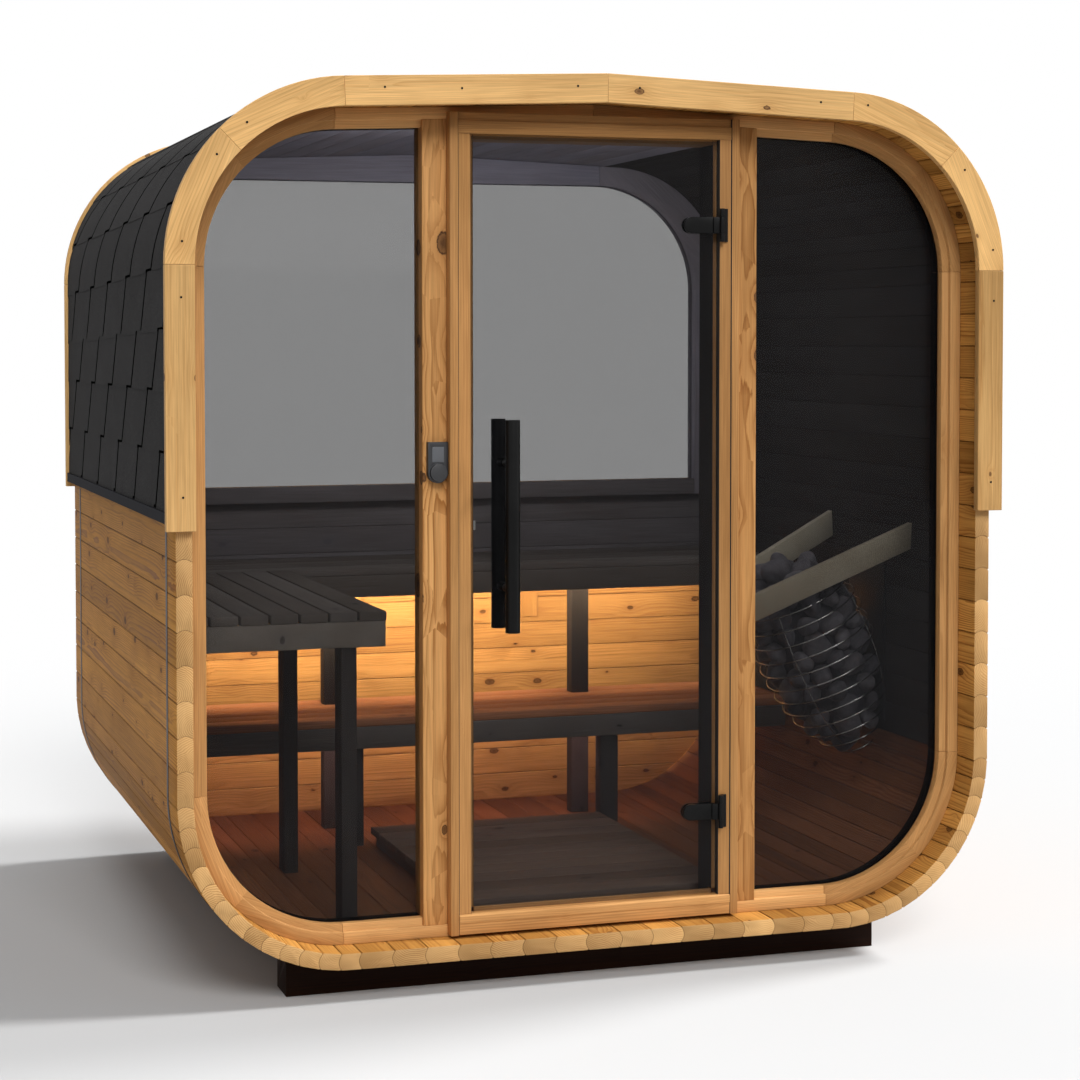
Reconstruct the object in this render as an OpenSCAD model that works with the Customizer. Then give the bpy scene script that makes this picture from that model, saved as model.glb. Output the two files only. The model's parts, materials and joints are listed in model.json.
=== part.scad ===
// Cube sauna: a rounded timber shell laid up from long tongue-and-cove staves that run
// front to back, with a glazed front wall, a half-glazed rear wall, a shingled roof that
// wraps over the shoulders, timber fascia rings, and benches, duckboard and heater inside.
//
// Axes: +X to the right seen from the front, +Y from front to back, +Z up.
// Origin: centre of the footprint, on the ground. Lengths are millimetres.

/* [Shell] */
// Overall width over the staves
shell_w = 2265; // [2000:5:2600]
// Length of the staves, front to back
shell_d = 1815; // [1700:5:2400]
// Height of the side walls up to where the shoulders begin, over the stave bottoms
shoulder_z = 1785; // [1700:5:2000]
// Outer radius of the four rounded corners
bend_r = 447; // [400:1:480]
// Fall of each roof slope, in degrees
roof_fall = 2.26; // [1:0.02:4]
// Thickness of a stave
stave_t = 42; // [36:1:50]
// Width that a wide stave covers
stave_pitch = 88; // [80:1:96]
// Number of narrow staves in each rounded corner
bend_staves = 13; // [10:1:16]
// Depth of the V joint between staves
joint_v = 2.5; // [1:0.5:4]
// How far a stave's rounded bead stands into its neighbour's cove
bead = 7; // [3:0.5:9]
// Play between two staves
stave_gap = 0.4; // [0.3:0.1:1]
// How far the lowest side joint lies under the top of the lower corner
side_joint_drop = 11; // [2:1:30]

/* [Cradle] */
// Height of the two cradle beams
cradle_h = 85; // [70:1:110]
// Width of a cradle beam, front to back
cradle_t = 100; // [80:1:130]
// Length of a cradle beam
cradle_l = 1670; // [1400:10:1750]
// Setback of a beam from the stave ends
cradle_inset = 100; // [60:5:200]

/* [Roof covering] */
// Height of the lower edge of the shingles over the stave bottoms
eave_z = 1174; // [1100:1:1300]
// Exposed height of the lowest shingle course
eave_course = 142; // [120:1:160]
// Shingle courses above the lowest one, on each side
course_n = 12; // [11:1:14]
// Thickness of one shingle
shingle_t = 4; // [3:0.5:6]
// Thickness of the boards and felt under the shingles
underlay_t = 15; // [10:1:18]
// Height of the metal drip edge
drip_h = 28; // [22:1:36]
// How far the drip edge stands out
drip_out = 24; // [20:1:26]
// Width of the hem along its lower edge
drip_hem = 7; // [5:1:10]

/* [Fascia] */
// Width of the fascia boards
fascia_w = 75; // [60:1:90]
// Thickness of the fascia boards
fascia_t = 22; // [18:1:28]
// How far the fascia stands out past the staves
fascia_lip = 27; // [22:1:34]
// Height of the lower ends of the fascia over the stave bottoms
fascia_z = 1129; // [1050:1:1200]

/* [Bands] */
// Width of the steel strap
band_w = 20; // [15:1:30]
// Thickness of the steel strap
band_t = 1; // [0.8:0.1:1.5]
// Setback of the straps from the stave ends
band_inset = 129; // [115:1:180]

/* [End walls] */
// Setback of both end walls from the stave ends
wall_inset = 84; // [60:1:110]
// Depth of the wall frames, front to back
wall_t = 74; // [60:1:90]
// Height of the frame's outer layer, measured inwards from the shell
frame_edge = 32; // [26:1:36]
// Height of the frame with its glazing lip
frame_lip = 52; // [44:1:60]
// Setback of the lip behind the outer layer
lip_inset = 12; // [8:1:16]
// Thickness of the glass
glass_t = 8; // [6:1:10]
// How deep the fixed glass sits in its groove
glass_bite = 10; // [6:1:12]
// Setback of the fixed glass behind the frame's face
glass_inset = 36; // [30:1:44]
// Height of the top of the rear window sill over the stave bottoms
sill_z = 1122; // [1000:1:1300]
// Height of the rear window sill
sill_h = 52; // [40:1:70]
// Width of the boards beside the rear window, in from the staves
rear_side_w = 102.5; // [90:0.5:130]
// Drop of the window's level head below the top of the bend inside the staves
rear_head_drop = 64; // [50:1:90]
// Radius of its upper corners
rear_open_r = 352; // [320:1:380]
// Thickness of the rear wall boards
board_t = 28; // [22:1:34]
// Boards in the rear wall below the window
board_n = 12; // [9:1:15]

/* [Door] */
// Clear width between the door jambs
door_w = 697; // [660:1:740]
// Height of the door sill's top over the stave bottoms
door_sill_z = 105; // [98:1:120]
// Distance of the head's underside below the flat of the frame's lip
head_drop = 8; // [6:1:60]
// Gap around the door leaf
door_gap = 5; // [4:0.5:8]
// Width of a door jamb's inner face board
jamb_w = 34; // [28:1:40]
// Width of the outer casing board
casing_w = 23; // [18:1:28]
// How far the casing stands in front of the posts
casing_out = 32; // [28:1:40]
// How far the door leaf's face lies behind the casing's face
leaf_inset = 8; // [6:1:12]
// Overlap of the stop behind the door leaf
stop_w = 12; // [8:1:14]
// Width of a wall post
post_w = 65; // [55:1:75]
// Swing of the door, in degrees
door_swing = 105; // [90:1:110]
// Opening angle that is shown
door_angle = 0; // [0:1:105]

/* [Door furniture] */
// Diameter of a handle bar
handle_d = 38; // [30:1:42]
// Length of a handle bar
handle_l = 550; // [400:10:700]
// Distance between the bar's two standoffs
handle_pitch = 326; // [250:2:360]
// Distance of the bar's axis from the glass centre
handle_out = 58; // [50:1:62]
// Distance of the handle from the leaf's free edge
handle_edge = 92; // [80:1:120]
// Length of a hinge's clamp arm
hinge_l = 93; // [80:1:110]
// Height of a hinge's clamp arm
hinge_h = 43; // [36:1:50]
// Height of a hinge's wall plate
hinge_plate_h = 88; // [76:1:100]
// Distance of each hinge from the leaf's end
hinge_end = 222; // [180:1:260]
// Radius of the hinge pin
pin_r = 3; // [2.5:0.1:4]

/* [Benches] */
// Width of a bench slat
slat_w = 73.5; // [60:0.5:90]
// Gap between slats
slat_gap = 6; // [4:0.5:10]
// Thickness of a slat
slat_t = 25; // [20:1:30]
// Height of the boards under the slats
rail_h = 68; // [55:1:80]
// Thickness of the boards under the slats
rail_t = 25; // [20:1:30]
// Height of the upper benches over the stave bottoms
upper_z = 888; // [840:1:930]
// Height of the lower bench over the stave bottoms
lower_z = 440; // [400:1:480]
// Gap from the upper rear bench to the rear wall boards
bench_back_gap = 14; // [6:1:30]
// How far the lower bench stands in front of the upper one
step_d = 165; // [120:5:220]
// Slats in the rear benches
rear_slats = 5; // [4:1:5]
// Slats in the side bench
side_slats = 7; // [6:1:7]
// Setback of the side bench from the stave ends
side_front = 190; // [175:5:300]
// Width of a side bench leg, across the room
leg_a = 42; // [36:1:50]
// Depth of a side bench leg, front to back
leg_b = 70; // [60:1:80]
// Distance of the rear bench's left leg from the left wall
left_leg_in = 690; // [650:5:760]
// Distance of the rear benches' right legs from the right wall
right_leg_in = 590; // [480:5:640]
// Width of a rear bench leg, across the room
post_a = 60; // [50:1:70]
// Depth of a rear bench leg, front to back
post_b = 45; // [36:1:50]
// Width of the duckboard, across the room
duck_w = 755; // [600:5:780]
// Least gap between the duckboard and the front wall
duck_front_gap = 40; // [20:5:80]
// Width of a duckboard slat
duck_slat_w = 88; // [80:1:90]
// Height of the duckboard over the floor
duck_h = 58; // [50:1:70]

/* [Heater] */
// Distance of the heater's middle from the stave ends
heater_y = 604; // [580:1:640]
// Height of the heater's widest hoop over the stave bottoms
heater_z = 700; // [660:1:760]
// Radius of the widest hoop
heater_r = 180; // [160:1:190]
// Lean of the heater and its guard, in degrees
heater_lean = 25; // [15:1:30]
// Number of hoops
hoop_n = 12; // [8:1:14]
// Number of upright ribs
rib_n = 8; // [6:1:10]
// Height of the back plate
plate_h = 470; // [400:5:500]
// Width of the back plate
plate_w = 220; // [160:5:260]
// Distance of the guard rail's front board from the wall, along the lean
guard_reach = 490; // [460:5:520]
// Half the guard rail's width at the wall
guard_wide = 254; // [240:2:280]
// Half the guard rail's width at the front
guard_narrow = 154; // [130:2:170]
// Height of the guard rail
guard_h = 70; // [50:1:80]
// Thickness of the guard rail
guard_t = 25; // [20:1:30]
// Height of the guard rail's top at the wall, over the stave bottoms
guard_z = 1068; // [1040:1:1100]

/* [Controller] */
// Width of the control unit
control_w = 54; // [48:1:58]
// Height of the control unit
control_h = 106; // [90:1:120]
// Thickness of the control unit
control_t = 18; // [14:1:22]
// Height of the control unit's middle over the stave bottoms
control_z = 1283; // [1200:1:1400]

/* [Hidden] */
$fn = 48;
half_w = shell_w / 2;
bend_x = half_w - bend_r;
inner_r = bend_r - stave_t;
// Clearance between flat faces that only lie against each other
seat = 0.3;
// Gap between butted boards
butt = 0.5;
// The corner staves are flat, so a ring inside them is this much smaller than their arc
ring_gap = inner_r * (1 - cos(90 / bend_staves / 2)) + 0.1;
ring_r = inner_r - ring_gap;
lip_r = inner_r - frame_lip;
edge_r = inner_r - frame_edge;
pane_r = lip_r + glass_bite;
floor_staves_n = 2 * floor(bend_x / stave_pitch) + 1;
floor_half = floor_staves_n * stave_pitch / 2;
side_z0 = bend_r - side_joint_drop;
side_n = floor((shoulder_z - side_z0) / stave_pitch);
side_z1 = side_z0 + side_n * stave_pitch;
roof_arc = 90 - roof_fall;
roof_start = bend_x + bend_r * cos(roof_arc);
roof_joint = (roof_start - floor_half) / cos(roof_fall);
roof_len = floor_half / cos(roof_fall);
roof_n = ceil(floor_half / stave_pitch);
deg = 180 / PI;
rear_face = shell_d - wall_inset;
wall_back = wall_inset + wall_t;
jamb_in = door_w / 2;
jamb_out = jamb_in + jamb_w + casing_w;
casing_in = jamb_in + jamb_w;
casing_y = wall_inset - casing_out;
door_head_z = shoulder_z + lip_r - head_drop;
post_out = jamb_out + post_w;
leaf_y = casing_y + leaf_inset;
leaf_back = leaf_y + glass_t;
leaf_half = jamb_in - door_gap;
leaf_z0 = door_sill_z + door_gap;
leaf_z1 = door_head_z - door_gap;
hinge_r = 6.5;
hinge_x = jamb_in + 2.5;
hinge_y = casing_y - 10;
hinge_plate_t = 4;
// Running clearance of the hinge pin
pin_play = 0.08;
// Radius of the handle's studs where they pass through the glass
stud_r = 6;
arm_t = 8;
handle_x = -(leaf_half - handle_edge);
handle_mid = (leaf_z0 + leaf_z1) / 2;
handle_y = leaf_y + glass_t / 2;
board_back = rear_face - 7;
board_face = board_back - board_t;
slat_step = slat_w + slat_gap;
rear_depth = rear_slats * slat_step - slat_gap;
upper_y1 = board_face - bench_back_gap;
upper_y0 = upper_y1 - rear_depth;
lower_y0 = upper_y0 - step_d;
side_width = side_slats * slat_step - slat_gap;
wall_in = half_w - stave_t;
rear_corner_x = wall_in - rear_side_w - rear_open_r;
rear_corner_z = shoulder_z + inner_r - rear_head_drop - rear_open_r;
bench_end = 2;
side_x0 = -wall_in + bench_end;
side_x1 = side_x0 + side_width;
side_y1 = upper_y0 - slat_gap;
side_mid = side_front + 0.64 * (side_y1 - side_front);
rear_post_y = upper_y0 + 120;
front_post_y = lower_y0 + rail_t;
right_post_x = wall_in - right_leg_in - post_a;
left_post_x = -wall_in + left_leg_in;
side_leg_x = side_x1 - 120;
duck_x = 58;
duck_step = duck_slat_w + slat_gap;
duck_slats = floor((front_post_y - 3 - wall_back - duck_front_gap + slat_gap) / duck_step);
duck_y0 = front_post_y - 3 - duck_slats * duck_step + slat_gap;
duck_slat_t = 22;
heater_x = wall_in - 5 - heater_r;
tip_t = -375;
rim_t = 150;
top_t = 265;
plate_t = 7.6;
strip_w = 18;
strip_h = 8;

// ---------- frame and outlines ----------

// Puts a piece drawn from the stave ends and stave bottoms into the part's frame.
module placed() {
    translate([0, -shell_d / 2, cradle_h]) children();
}

// The same piece seen from behind, for the rear end.
module at_rear() {
    translate([0, shell_d, 0]) mirror([0, 1, 0]) children();
}

// A piece and its mirror image across the middle plane.
module both_sides() {
    children();
    mirror([1, 0, 0]) children();
}

// Extrudes an outline drawn in X and Z from one depth to another.
module slab(y0, y1) {
    rotate([90, 0, 0]) translate([0, 0, -y1]) linear_extrude(height = y1 - y0) children();
}

// Points of an arc about a centre in X and Z.
function arc(cx, cz, r, a0, a1, n) =
    [for (i = [0:n]) let (a = a0 + (a1 - a0) * i / n) [cx + r * cos(a), cz + r * sin(a)]];

// Height of a roof line that runs at radius r of the shoulders.
function roof_z(x, r) =
    shoulder_z + (bend_x - abs(x)) * tan(roof_fall) + r / cos(roof_fall);

// A point of the floor and lower corner, s along the outside from the last floor joint
// and d in from the outside.
function lower_pt(s, d) =
    let (stub = bend_x - floor_half, a = (s - stub) / bend_r * deg)
    s <= stub
        ? [floor_half + s, d]
        : [bend_x + (bend_r - d) * sin(a), bend_r - (bend_r - d) * cos(a)];
lower_len = bend_x - floor_half + bend_r * acos(side_joint_drop / bend_r) / deg;

// A point that climbs the wall from z0, goes round the shoulder and up the roof.
function rise_pt(z0, s, d) =
    let (stub = shoulder_z - z0, bend = bend_r * roof_arc / deg, t = s - stub - bend)
    s <= stub
        ? [half_w - d, z0 + s]
        : t <= 0
            ? let (a = (s - stub) / bend_r * deg)
              [bend_x + (bend_r - d) * cos(a), shoulder_z + (bend_r - d) * sin(a)]
            : [bend_x + (bend_r - d) * cos(roof_arc) - t * cos(roof_fall),
               shoulder_z + (bend_r - d) * sin(roof_arc) + t * sin(roof_fall)];
function rise_len(z0) = shoulder_z - z0 + bend_r * roof_arc / deg;

// A joint between two staves is a function of the distance e past it along the path and
// of the depth d.
function joint_at(f, s) = function(e, d) f(s + e, d);

// Points down one side of a stave at a joint, from the outside in. Side is 1 where the
// stave begins and -1 where it ends. The bead leans along the path where lean is 1 and
// against it where lean is -1.
function joint_side(joint, side, lean) =
    let (v = joint_v, c = side * stave_gap / 2, steps = 6)
    concat(
        [joint(c + side * v, 0)],
        [for (i = [0:steps]) let (u = i / steps)
            joint(c + lean * bead * 4 * u * (1 - u), v + u * (stave_t - 2 * v))],
        [joint(c + side * v, stave_t)]);

// Outline of the stave between two joints.
function stave_outline(j0, j1, lean0 = 1, lean1 = 1) =
    let (start = joint_side(j0, 1, lean0), end = joint_side(j1, -1, lean1))
    concat([for (i = [len(start) - 1:-1:0]) start[i]], end);

// ---------- runs of one cross-section round the shell ----------
// A section is drawn in radius from the corner's centre and depth from the stave ends.

module bend_run(section, cz, a0, a1) {
    translate([bend_x, 0, cz]) rotate([90, 0, 0]) mirror([0, 0, 1])
        rotate([0, 0, a0]) rotate_extrude(angle = a1 - a0, $fn = 96) polygon(section);
}

module side_run(section, z0, z1) {
    translate([bend_x, 0, z0]) linear_extrude(height = z1 - z0) polygon(section);
}

module floor_run(section, x0, x1) {
    translate([x0, 0, bend_r]) rotate([0, 90, 0]) linear_extrude(height = x1 - x0)
        polygon(section);
}

module roof_run(section) {
    intersection() {
        translate([bend_x, 0, shoulder_z]) rotate([0, roof_fall, 0])
            translate([-butt / 2, 0, 0]) rotate([0, -90, 0])
                linear_extrude(height = bend_x + bend_r) polygon(section);
        translate([butt / 2, -shell_d, 0]) cube([half_w, 3 * shell_d, 2 * shoulder_z]);
    }
}

// Angle that a gap of half a butt joint takes at radius r.
function butt_deg(r) = butt / 2 / r * deg;

// ---------- shell ----------

// The staves of one run, from the list of their joints.
module stave_run(joints) {
    for (k = [0:len(joints) - 2])
        slab(0, shell_d) polygon(stave_outline(joints[k], joints[k + 1]));
}

// The floor is laid from its middle stave outwards, so the beads lean away from it.
module floor_staves() {
    f = function(s, d) [s, d];
    color("burlywood") placed() for (k = [0:floor_staves_n - 1])
        let (s0 = k * stave_pitch - floor_half, s1 = s0 + stave_pitch)
        slab(0, shell_d) polygon(stave_outline(joint_at(f, s0), joint_at(f, s1),
            s0 < 0 ? -1 : 1, s1 < 0 ? -1 : 1));
}

module wall_staves() {
    f = function(s, d) [half_w - d, side_z0 + s];
    color("burlywood") stave_run([for (k = [0:side_n]) joint_at(f, k * stave_pitch)]);
}

module wall_staves_left() {
    placed() mirror([1, 0, 0]) wall_staves();
}

module wall_staves_right() {
    placed() wall_staves();
}

// The last joint lies level on top of the lower corner.
module lower_corner_staves() {
    f = function(s, d) lower_pt(s, d);
    top = function(e, d) [half_w - d, side_z0 + e];
    w = lower_len / bend_staves;
    color("wheat") placed() both_sides()
        stave_run(concat([for (k = [0:bend_staves - 1]) joint_at(f, k * w)], [top]));
}

module upper_corner_staves() {
    f = function(s, d) rise_pt(side_z1, s, d);
    w = (rise_len(side_z1) + roof_joint) / bend_staves;
    color("wheat") placed() both_sides()
        stave_run([for (k = [0:bend_staves]) joint_at(f, k * w)]);
}

// The last joint is the upright cut at the ridge.
module roof_staves() {
    s0 = rise_len(shoulder_z) + roof_joint;
    w = roof_len / roof_n;
    f = function(s, d) rise_pt(shoulder_z, s0 + s, d);
    ridge = function(e, d) [butt / 2, roof_z(butt / 2, bend_r - d)];
    color("burlywood")
        stave_run(concat([for (k = [0:roof_n - 1]) joint_at(f, k * w)], [ridge]));
}

module roof_staves_left() {
    placed() mirror([1, 0, 0]) roof_staves();
}

module roof_staves_right() {
    placed() roof_staves();
}

// ---------- roof covering ----------

// Each course starts proud on the one below it and tapers under the next.
function shingle_outline() =
    let (len = rise_len(eave_z) + roof_start / cos(roof_fall) - butt,
         w = (len - eave_course) / course_n, cuts = 4, fine = course_n * cuts * 2,
         start = [0, for (k = [0:course_n]) eave_course + k * w])
    concat(
        [for (k = [0:course_n], j = [0:cuts])
            rise_pt(eave_z, start[k] + (start[k + 1] - start[k]) * j / cuts,
                    -seat - underlay_t - shingle_t * (2 - j / cuts))],
        [for (i = [fine:-1:0]) rise_pt(eave_z, len * i / fine, -seat)]);

module shingles() {
    color("dimgray") slab(seat, shell_d - seat) polygon(shingle_outline());
}

module shingles_left() {
    placed() mirror([1, 0, 0]) shingles();
}

module shingles_right() {
    placed() shingles();
}

// A folded sheet: flange under the roofing, outer face and a hem turned in.
module drip_edges() {
    x = half_w + seat;
    x1 = x + drip_out;
    z1 = eave_z - seat;
    z0 = z1 - drip_h;
    sheet = 1.5;
    color("black") placed() both_sides() slab(seat, shell_d - seat) polygon([
        [x, z1], [x1, z1], [x1, z0], [x1 - drip_hem, z0], [x1 - drip_hem, z0 + sheet],
        [x1 - sheet, z0 + sheet], [x1 - sheet, z1 - sheet], [x, z1 - sheet]]);
}

// ---------- fascia ----------

function fascia_section() =
    let (r1 = bend_r + fascia_lip, r0 = r1 - fascia_w)
    [[r0, -fascia_t], [r1, -fascia_t], [r1, -seat], [r0, -seat]];

module fascia() {
    section = fascia_section();
    b = butt_deg(bend_r);
    color("navajowhite") both_sides() {
        side_run(section, fascia_z, shoulder_z - butt / 2);
        bend_run(section, shoulder_z, b, 45 - b);
        bend_run(section, shoulder_z, 45 + b, roof_arc - b);
        roof_run(section);
    }
}

module fascia_front() {
    placed() fascia();
}

module fascia_rear() {
    placed() at_rear() fascia();
}

// ---------- bands and cradle ----------

module band() {
    outer = function(r) concat(
        [[half_w + r - bend_r, fascia_z]],
        arc(bend_x, bend_r, r, 0, -90, 48),
        arc(-bend_x, bend_r, r, -90, -180, 48),
        [[-(half_w + r - bend_r), fascia_z]]);
    inside = outer(bend_r + seat);
    slab(band_inset - band_w / 2, band_inset + band_w / 2)
        polygon(concat(outer(bend_r + seat + band_t),
                       [for (i = [len(inside) - 1:-1:0]) inside[i]]));
}

module steel_bands() {
    color("slategray") placed() {
        band();
        at_rear() band();
    }
}

module cradle() {
    notch = band_t + 2 * seat + 0.2;
    color([0.17, 0.1, 0.07]) difference() {
        translate([-cradle_l / 2, cradle_inset, -cradle_h])
            cube([cradle_l, cradle_t, cradle_h]);
        translate([-cradle_l, band_inset - band_w / 2 - 1, -notch])
            cube([2 * cradle_l, band_w + 2, 2 * notch]);
    }
}

module cradle_front() {
    placed() cradle();
}

module cradle_rear() {
    placed() at_rear() cradle();
}

// ---------- end walls ----------

// Section of the wall frame: outer layer, lip and the groove that holds the glass.
function frame_section() =
    let (y0 = wall_inset, y1 = wall_back, g0 = y0 + glass_inset - seat,
         g1 = y0 + glass_inset + glass_t + seat, g = pane_r + seat)
    [[edge_r, y0], [ring_r, y0], [ring_r, y1], [lip_r, y1], [lip_r, g1], [g, g1],
     [g, g0], [lip_r, g0], [lip_r, y0 + lip_inset], [edge_r, y0 + lip_inset]];

module front_wall_frame() {
    section = frame_section();
    b = butt_deg(lip_r);
    color("tan") placed() {
        both_sides() {
            bend_run(section, shoulder_z, b, roof_arc - b);
            roof_run(section);
            side_run(section, bend_r + butt / 2, shoulder_z - butt / 2);
            bend_run(section, bend_r, -90 + b, -b);
        }
        floor_run(section, -bend_x + butt / 2, bend_x - butt / 2);
    }
}

// Outline of the rear window, grown by g all round and closed at z0 below.
module rear_opening(z0, g) {
    x = rear_corner_x;
    r = rear_open_r + g;
    polygon(concat([[-x - r, z0], [x + r, z0]], arc(x, rear_corner_z, r, 0, 90, 24),
                   arc(-x, rear_corner_z, r, 90, 180, 24)));
}

// Outline of the end wall above the rear window sill's underside, at radius r.
module rear_panel(r) {
    right = end_outline(0, sill_z - sill_h, r);
    polygon(concat(right, [for (i = [len(right) - 2:-1:1]) [-right[i][0], right[i][1]]]));
}

// Boards round the rear window: an outer layer, and a wider one that holds the glass.
// They are butted at the ridge and where the corners of the opening begin.
module rear_wall_frame() {
    y0 = wall_inset;
    color("tan") placed() at_rear() difference() {
        union() {
            slab(y0, y0 + lip_inset + 1) difference() {
                rear_panel(ring_r);
                rear_panel(edge_r);
            }
            slab(y0 + lip_inset, wall_back) difference() {
                rear_panel(ring_r);
                rear_opening(0, 0);
            }
        }
        slab(y0 + glass_inset - seat, y0 + glass_inset + glass_t + seat)
            rear_opening(0, glass_bite + seat);
        for (x = [-rear_corner_x, 0, rear_corner_x])
            translate([x - butt / 2, 0, rear_corner_z]) cube([butt, shell_d, shell_w]);
        for (s = [-1, 1])
            translate([s * half_w - half_w / 2, 0, rear_corner_z - butt / 2])
                cube([half_w, shell_d, butt]);
    }
}

// Outline of a pane or panel that ends in the frame, at radius r of the corners.
function end_outline(x, z, r) =
    concat(
        z < bend_r ? concat([[x, bend_r - r]], arc(bend_x, bend_r, r, -90, 0, 24))
                   : [[x, z], [bend_x + r, z]],
        arc(bend_x, shoulder_z, r, 0, roof_arc, 24),
        [[x, roof_z(x, r)]]);

module fixed_pane() {
    y = wall_inset + glass_inset;
    slab(y, y + glass_t) polygon(end_outline(post_out - glass_bite, 0, pane_r));
}

module glass_left() {
    color([0.2, 0.2, 0.22, 0.6]) placed() mirror([1, 0, 0]) fixed_pane();
}

module glass_right() {
    color([0.2, 0.2, 0.22, 0.6]) placed() fixed_pane();
}

module rear_window() {
    y = wall_inset + glass_inset;
    color([0.2, 0.2, 0.22, 0.6]) placed() at_rear() slab(y, y + glass_t)
        rear_opening(sill_z - glass_bite, glass_bite);
}

module rear_window_sill() {
    y0 = wall_inset;
    y1 = wall_back;
    g0 = y0 + glass_inset - seat;
    g1 = y0 + glass_inset + glass_t + seat;
    g = sill_z - glass_bite - seat;
    x = wall_in - rear_side_w - seat;
    section = [[y0, sill_z - sill_h], [y1, sill_z - sill_h], [y1, sill_z], [g1, sill_z],
               [g1, g], [g0, g], [g0, sill_z], [y0 + lip_inset, sill_z],
               [y0 + lip_inset, sill_z - sill_h + frame_edge],
               [y0, sill_z - sill_h + frame_edge]];
    color("tan") placed() at_rear() translate([-x, 0, 0]) rotate([90, 0, 90])
        linear_extrude(height = 2 * x) polygon(section);
}

// Boards of the rear wall, each with a tongue on top, a groove below and a V at each
// joint inside and outside.
module rear_wall_boards() {
    z0 = stave_t + ring_gap;
    w = (sill_z - sill_h - seat - z0) / board_n;
    v = joint_v;
    g = stave_gap;
    tongue = 8;
    mid = (board_face + board_back) / 2;
    y0 = board_face;
    y1 = board_back;
    plain = [[y0, 0], [y1, 0]];
    grooved = [[y0, v], [y0 + v, 0], [mid - 4, 0], [mid - 4, tongue], [mid + 4, tongue],
               [mid + 4, 0], [y1 - v, 0], [y1, v]];
    flat_top = [[y1, w], [y0, w]];
    tongued = [[y1, w - v - g], [y1 - v, w - g], [mid + 4 - g, w - g],
               [mid + 4 - g, w + tongue - g], [mid - 4 + g, w + tongue - g],
               [mid - 4 + g, w - g], [y0 + v, w - g], [y0, w - v - g]];
    color("burlywood") placed() intersection() {
        for (k = [0:board_n - 1])
            translate([-shell_w, 0, z0 + k * w]) rotate([90, 0, 90])
                linear_extrude(height = 2 * shell_w)
                    polygon(concat(k == 0 ? plain : grooved,
                                   k == board_n - 1 ? flat_top : tongued));
        slab(y0 - 1, y1 + 1) polygon(concat(
            [[bend_x + ring_r, sill_z]], arc(bend_x, bend_r, ring_r, 0, -90, 32),
            arc(-bend_x, bend_r, ring_r, -90, -180, 32), [[-bend_x - ring_r, sill_z]]));
    }
}

// An upright between x0 and x1 whose top follows the roof at radius r.
module upright(x0, x1, z0, r, y0, y1) {
    slab(y0, y1) polygon([[x0, z0], [x1, z0], [x1, roof_z(x1, r)], [x0, roof_z(x0, r)]]);
}

module front_posts() {
    y = wall_inset + glass_inset;
    color("tan") placed() both_sides() difference() {
        union() {
            upright(jamb_out, post_out, bend_r - edge_r, edge_r,
                    wall_inset, wall_inset + lip_inset);
            upright(jamb_out, post_out, bend_r - lip_r, lip_r,
                    wall_inset + lip_inset, wall_back);
        }
        translate([post_out - glass_bite - seat, y - seat, 0])
            cube([glass_bite + 1, glass_t + 2 * seat, 2 * shoulder_z]);
    }
}

// ---------- doorway ----------

casing_z1 = roof_z(jamb_out, inner_r) - 16;
casing_z0 = stave_t + 8;
head_z1 = door_head_z + 33;

module door_jambs() {
    stop_y = leaf_back + door_gap;
    color("peru") placed() both_sides() {
        slab(casing_y, wall_inset) polygon([
            [casing_in, casing_z0], [jamb_out, casing_z0],
            [jamb_out, casing_z1], [casing_in, casing_z1]]);
        slab(casing_y + 3, stop_y) polygon([
            [jamb_in, door_sill_z], [casing_in, door_sill_z],
            [casing_in, door_head_z], [jamb_in, door_head_z]]);
        slab(stop_y, wall_inset + lip_inset) polygon([
            [jamb_in - stop_w, door_sill_z + 13], [casing_in, door_sill_z + 13],
            [casing_in, door_head_z], [jamb_in - stop_w, door_head_z]]);
        upright(jamb_in - stop_w, jamb_out, bend_r - lip_r, lip_r,
                wall_inset + lip_inset, wall_back);
        slab(wall_inset, wall_inset + lip_inset) polygon([
            [casing_in, bend_r - edge_r], [jamb_out, bend_r - edge_r],
            [jamb_out, roof_z(jamb_out, edge_r)], [casing_in, roof_z(jamb_out, edge_r)]]);
    }
}

// The head board, its stop and the packing board over it.
module door_head() {
    stop_y = leaf_back + door_gap;
    x = casing_in - seat;
    xs = jamb_in - stop_w - seat;
    color("peru") placed() {
        slab(casing_y + 2, wall_inset) polygon([
            [-x, door_head_z + seat], [x, door_head_z + seat], [x, head_z1], [-x, head_z1]]);
        slab(stop_y, wall_back) polygon([
            [-xs, door_head_z - stop_w], [xs, door_head_z - stop_w],
            [xs, roof_z(xs, lip_r) - seat], [-xs, roof_z(xs, lip_r) - seat]]);
        slab(casing_y + 6, wall_inset - seat) polygon([
            [-x, head_z1], [x, head_z1], [x, casing_z1 - 1], [-x, casing_z1 - 1]]);
    }
}

// The two sill boards, with a stop behind the leaf.
module door_sill() {
    stop_y = leaf_back + door_gap;
    x = casing_in - seat;
    xs = jamb_in - stop_w - seat;
    mid_z = door_sill_z - 25;
    v = joint_v;
    color("peru") placed() {
        translate([-x, 0, 0]) rotate([90, 0, 90]) linear_extrude(height = 2 * x) polygon([
            [casing_y - 2, mid_z + v], [casing_y, mid_z], [casing_y, casing_z0 + 2],
            [wall_inset - seat, casing_z0 + 2], [wall_inset - seat, door_sill_z - seat],
            [casing_y + 1, door_sill_z - seat], [casing_y - 2, door_sill_z - 4]]);
        slab(stop_y, wall_inset - seat) polygon([
            [-xs, door_sill_z - seat], [xs, door_sill_z - seat],
            [xs, door_sill_z + stop_w], [-xs, door_sill_z + stop_w]]);
    }
}

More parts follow.
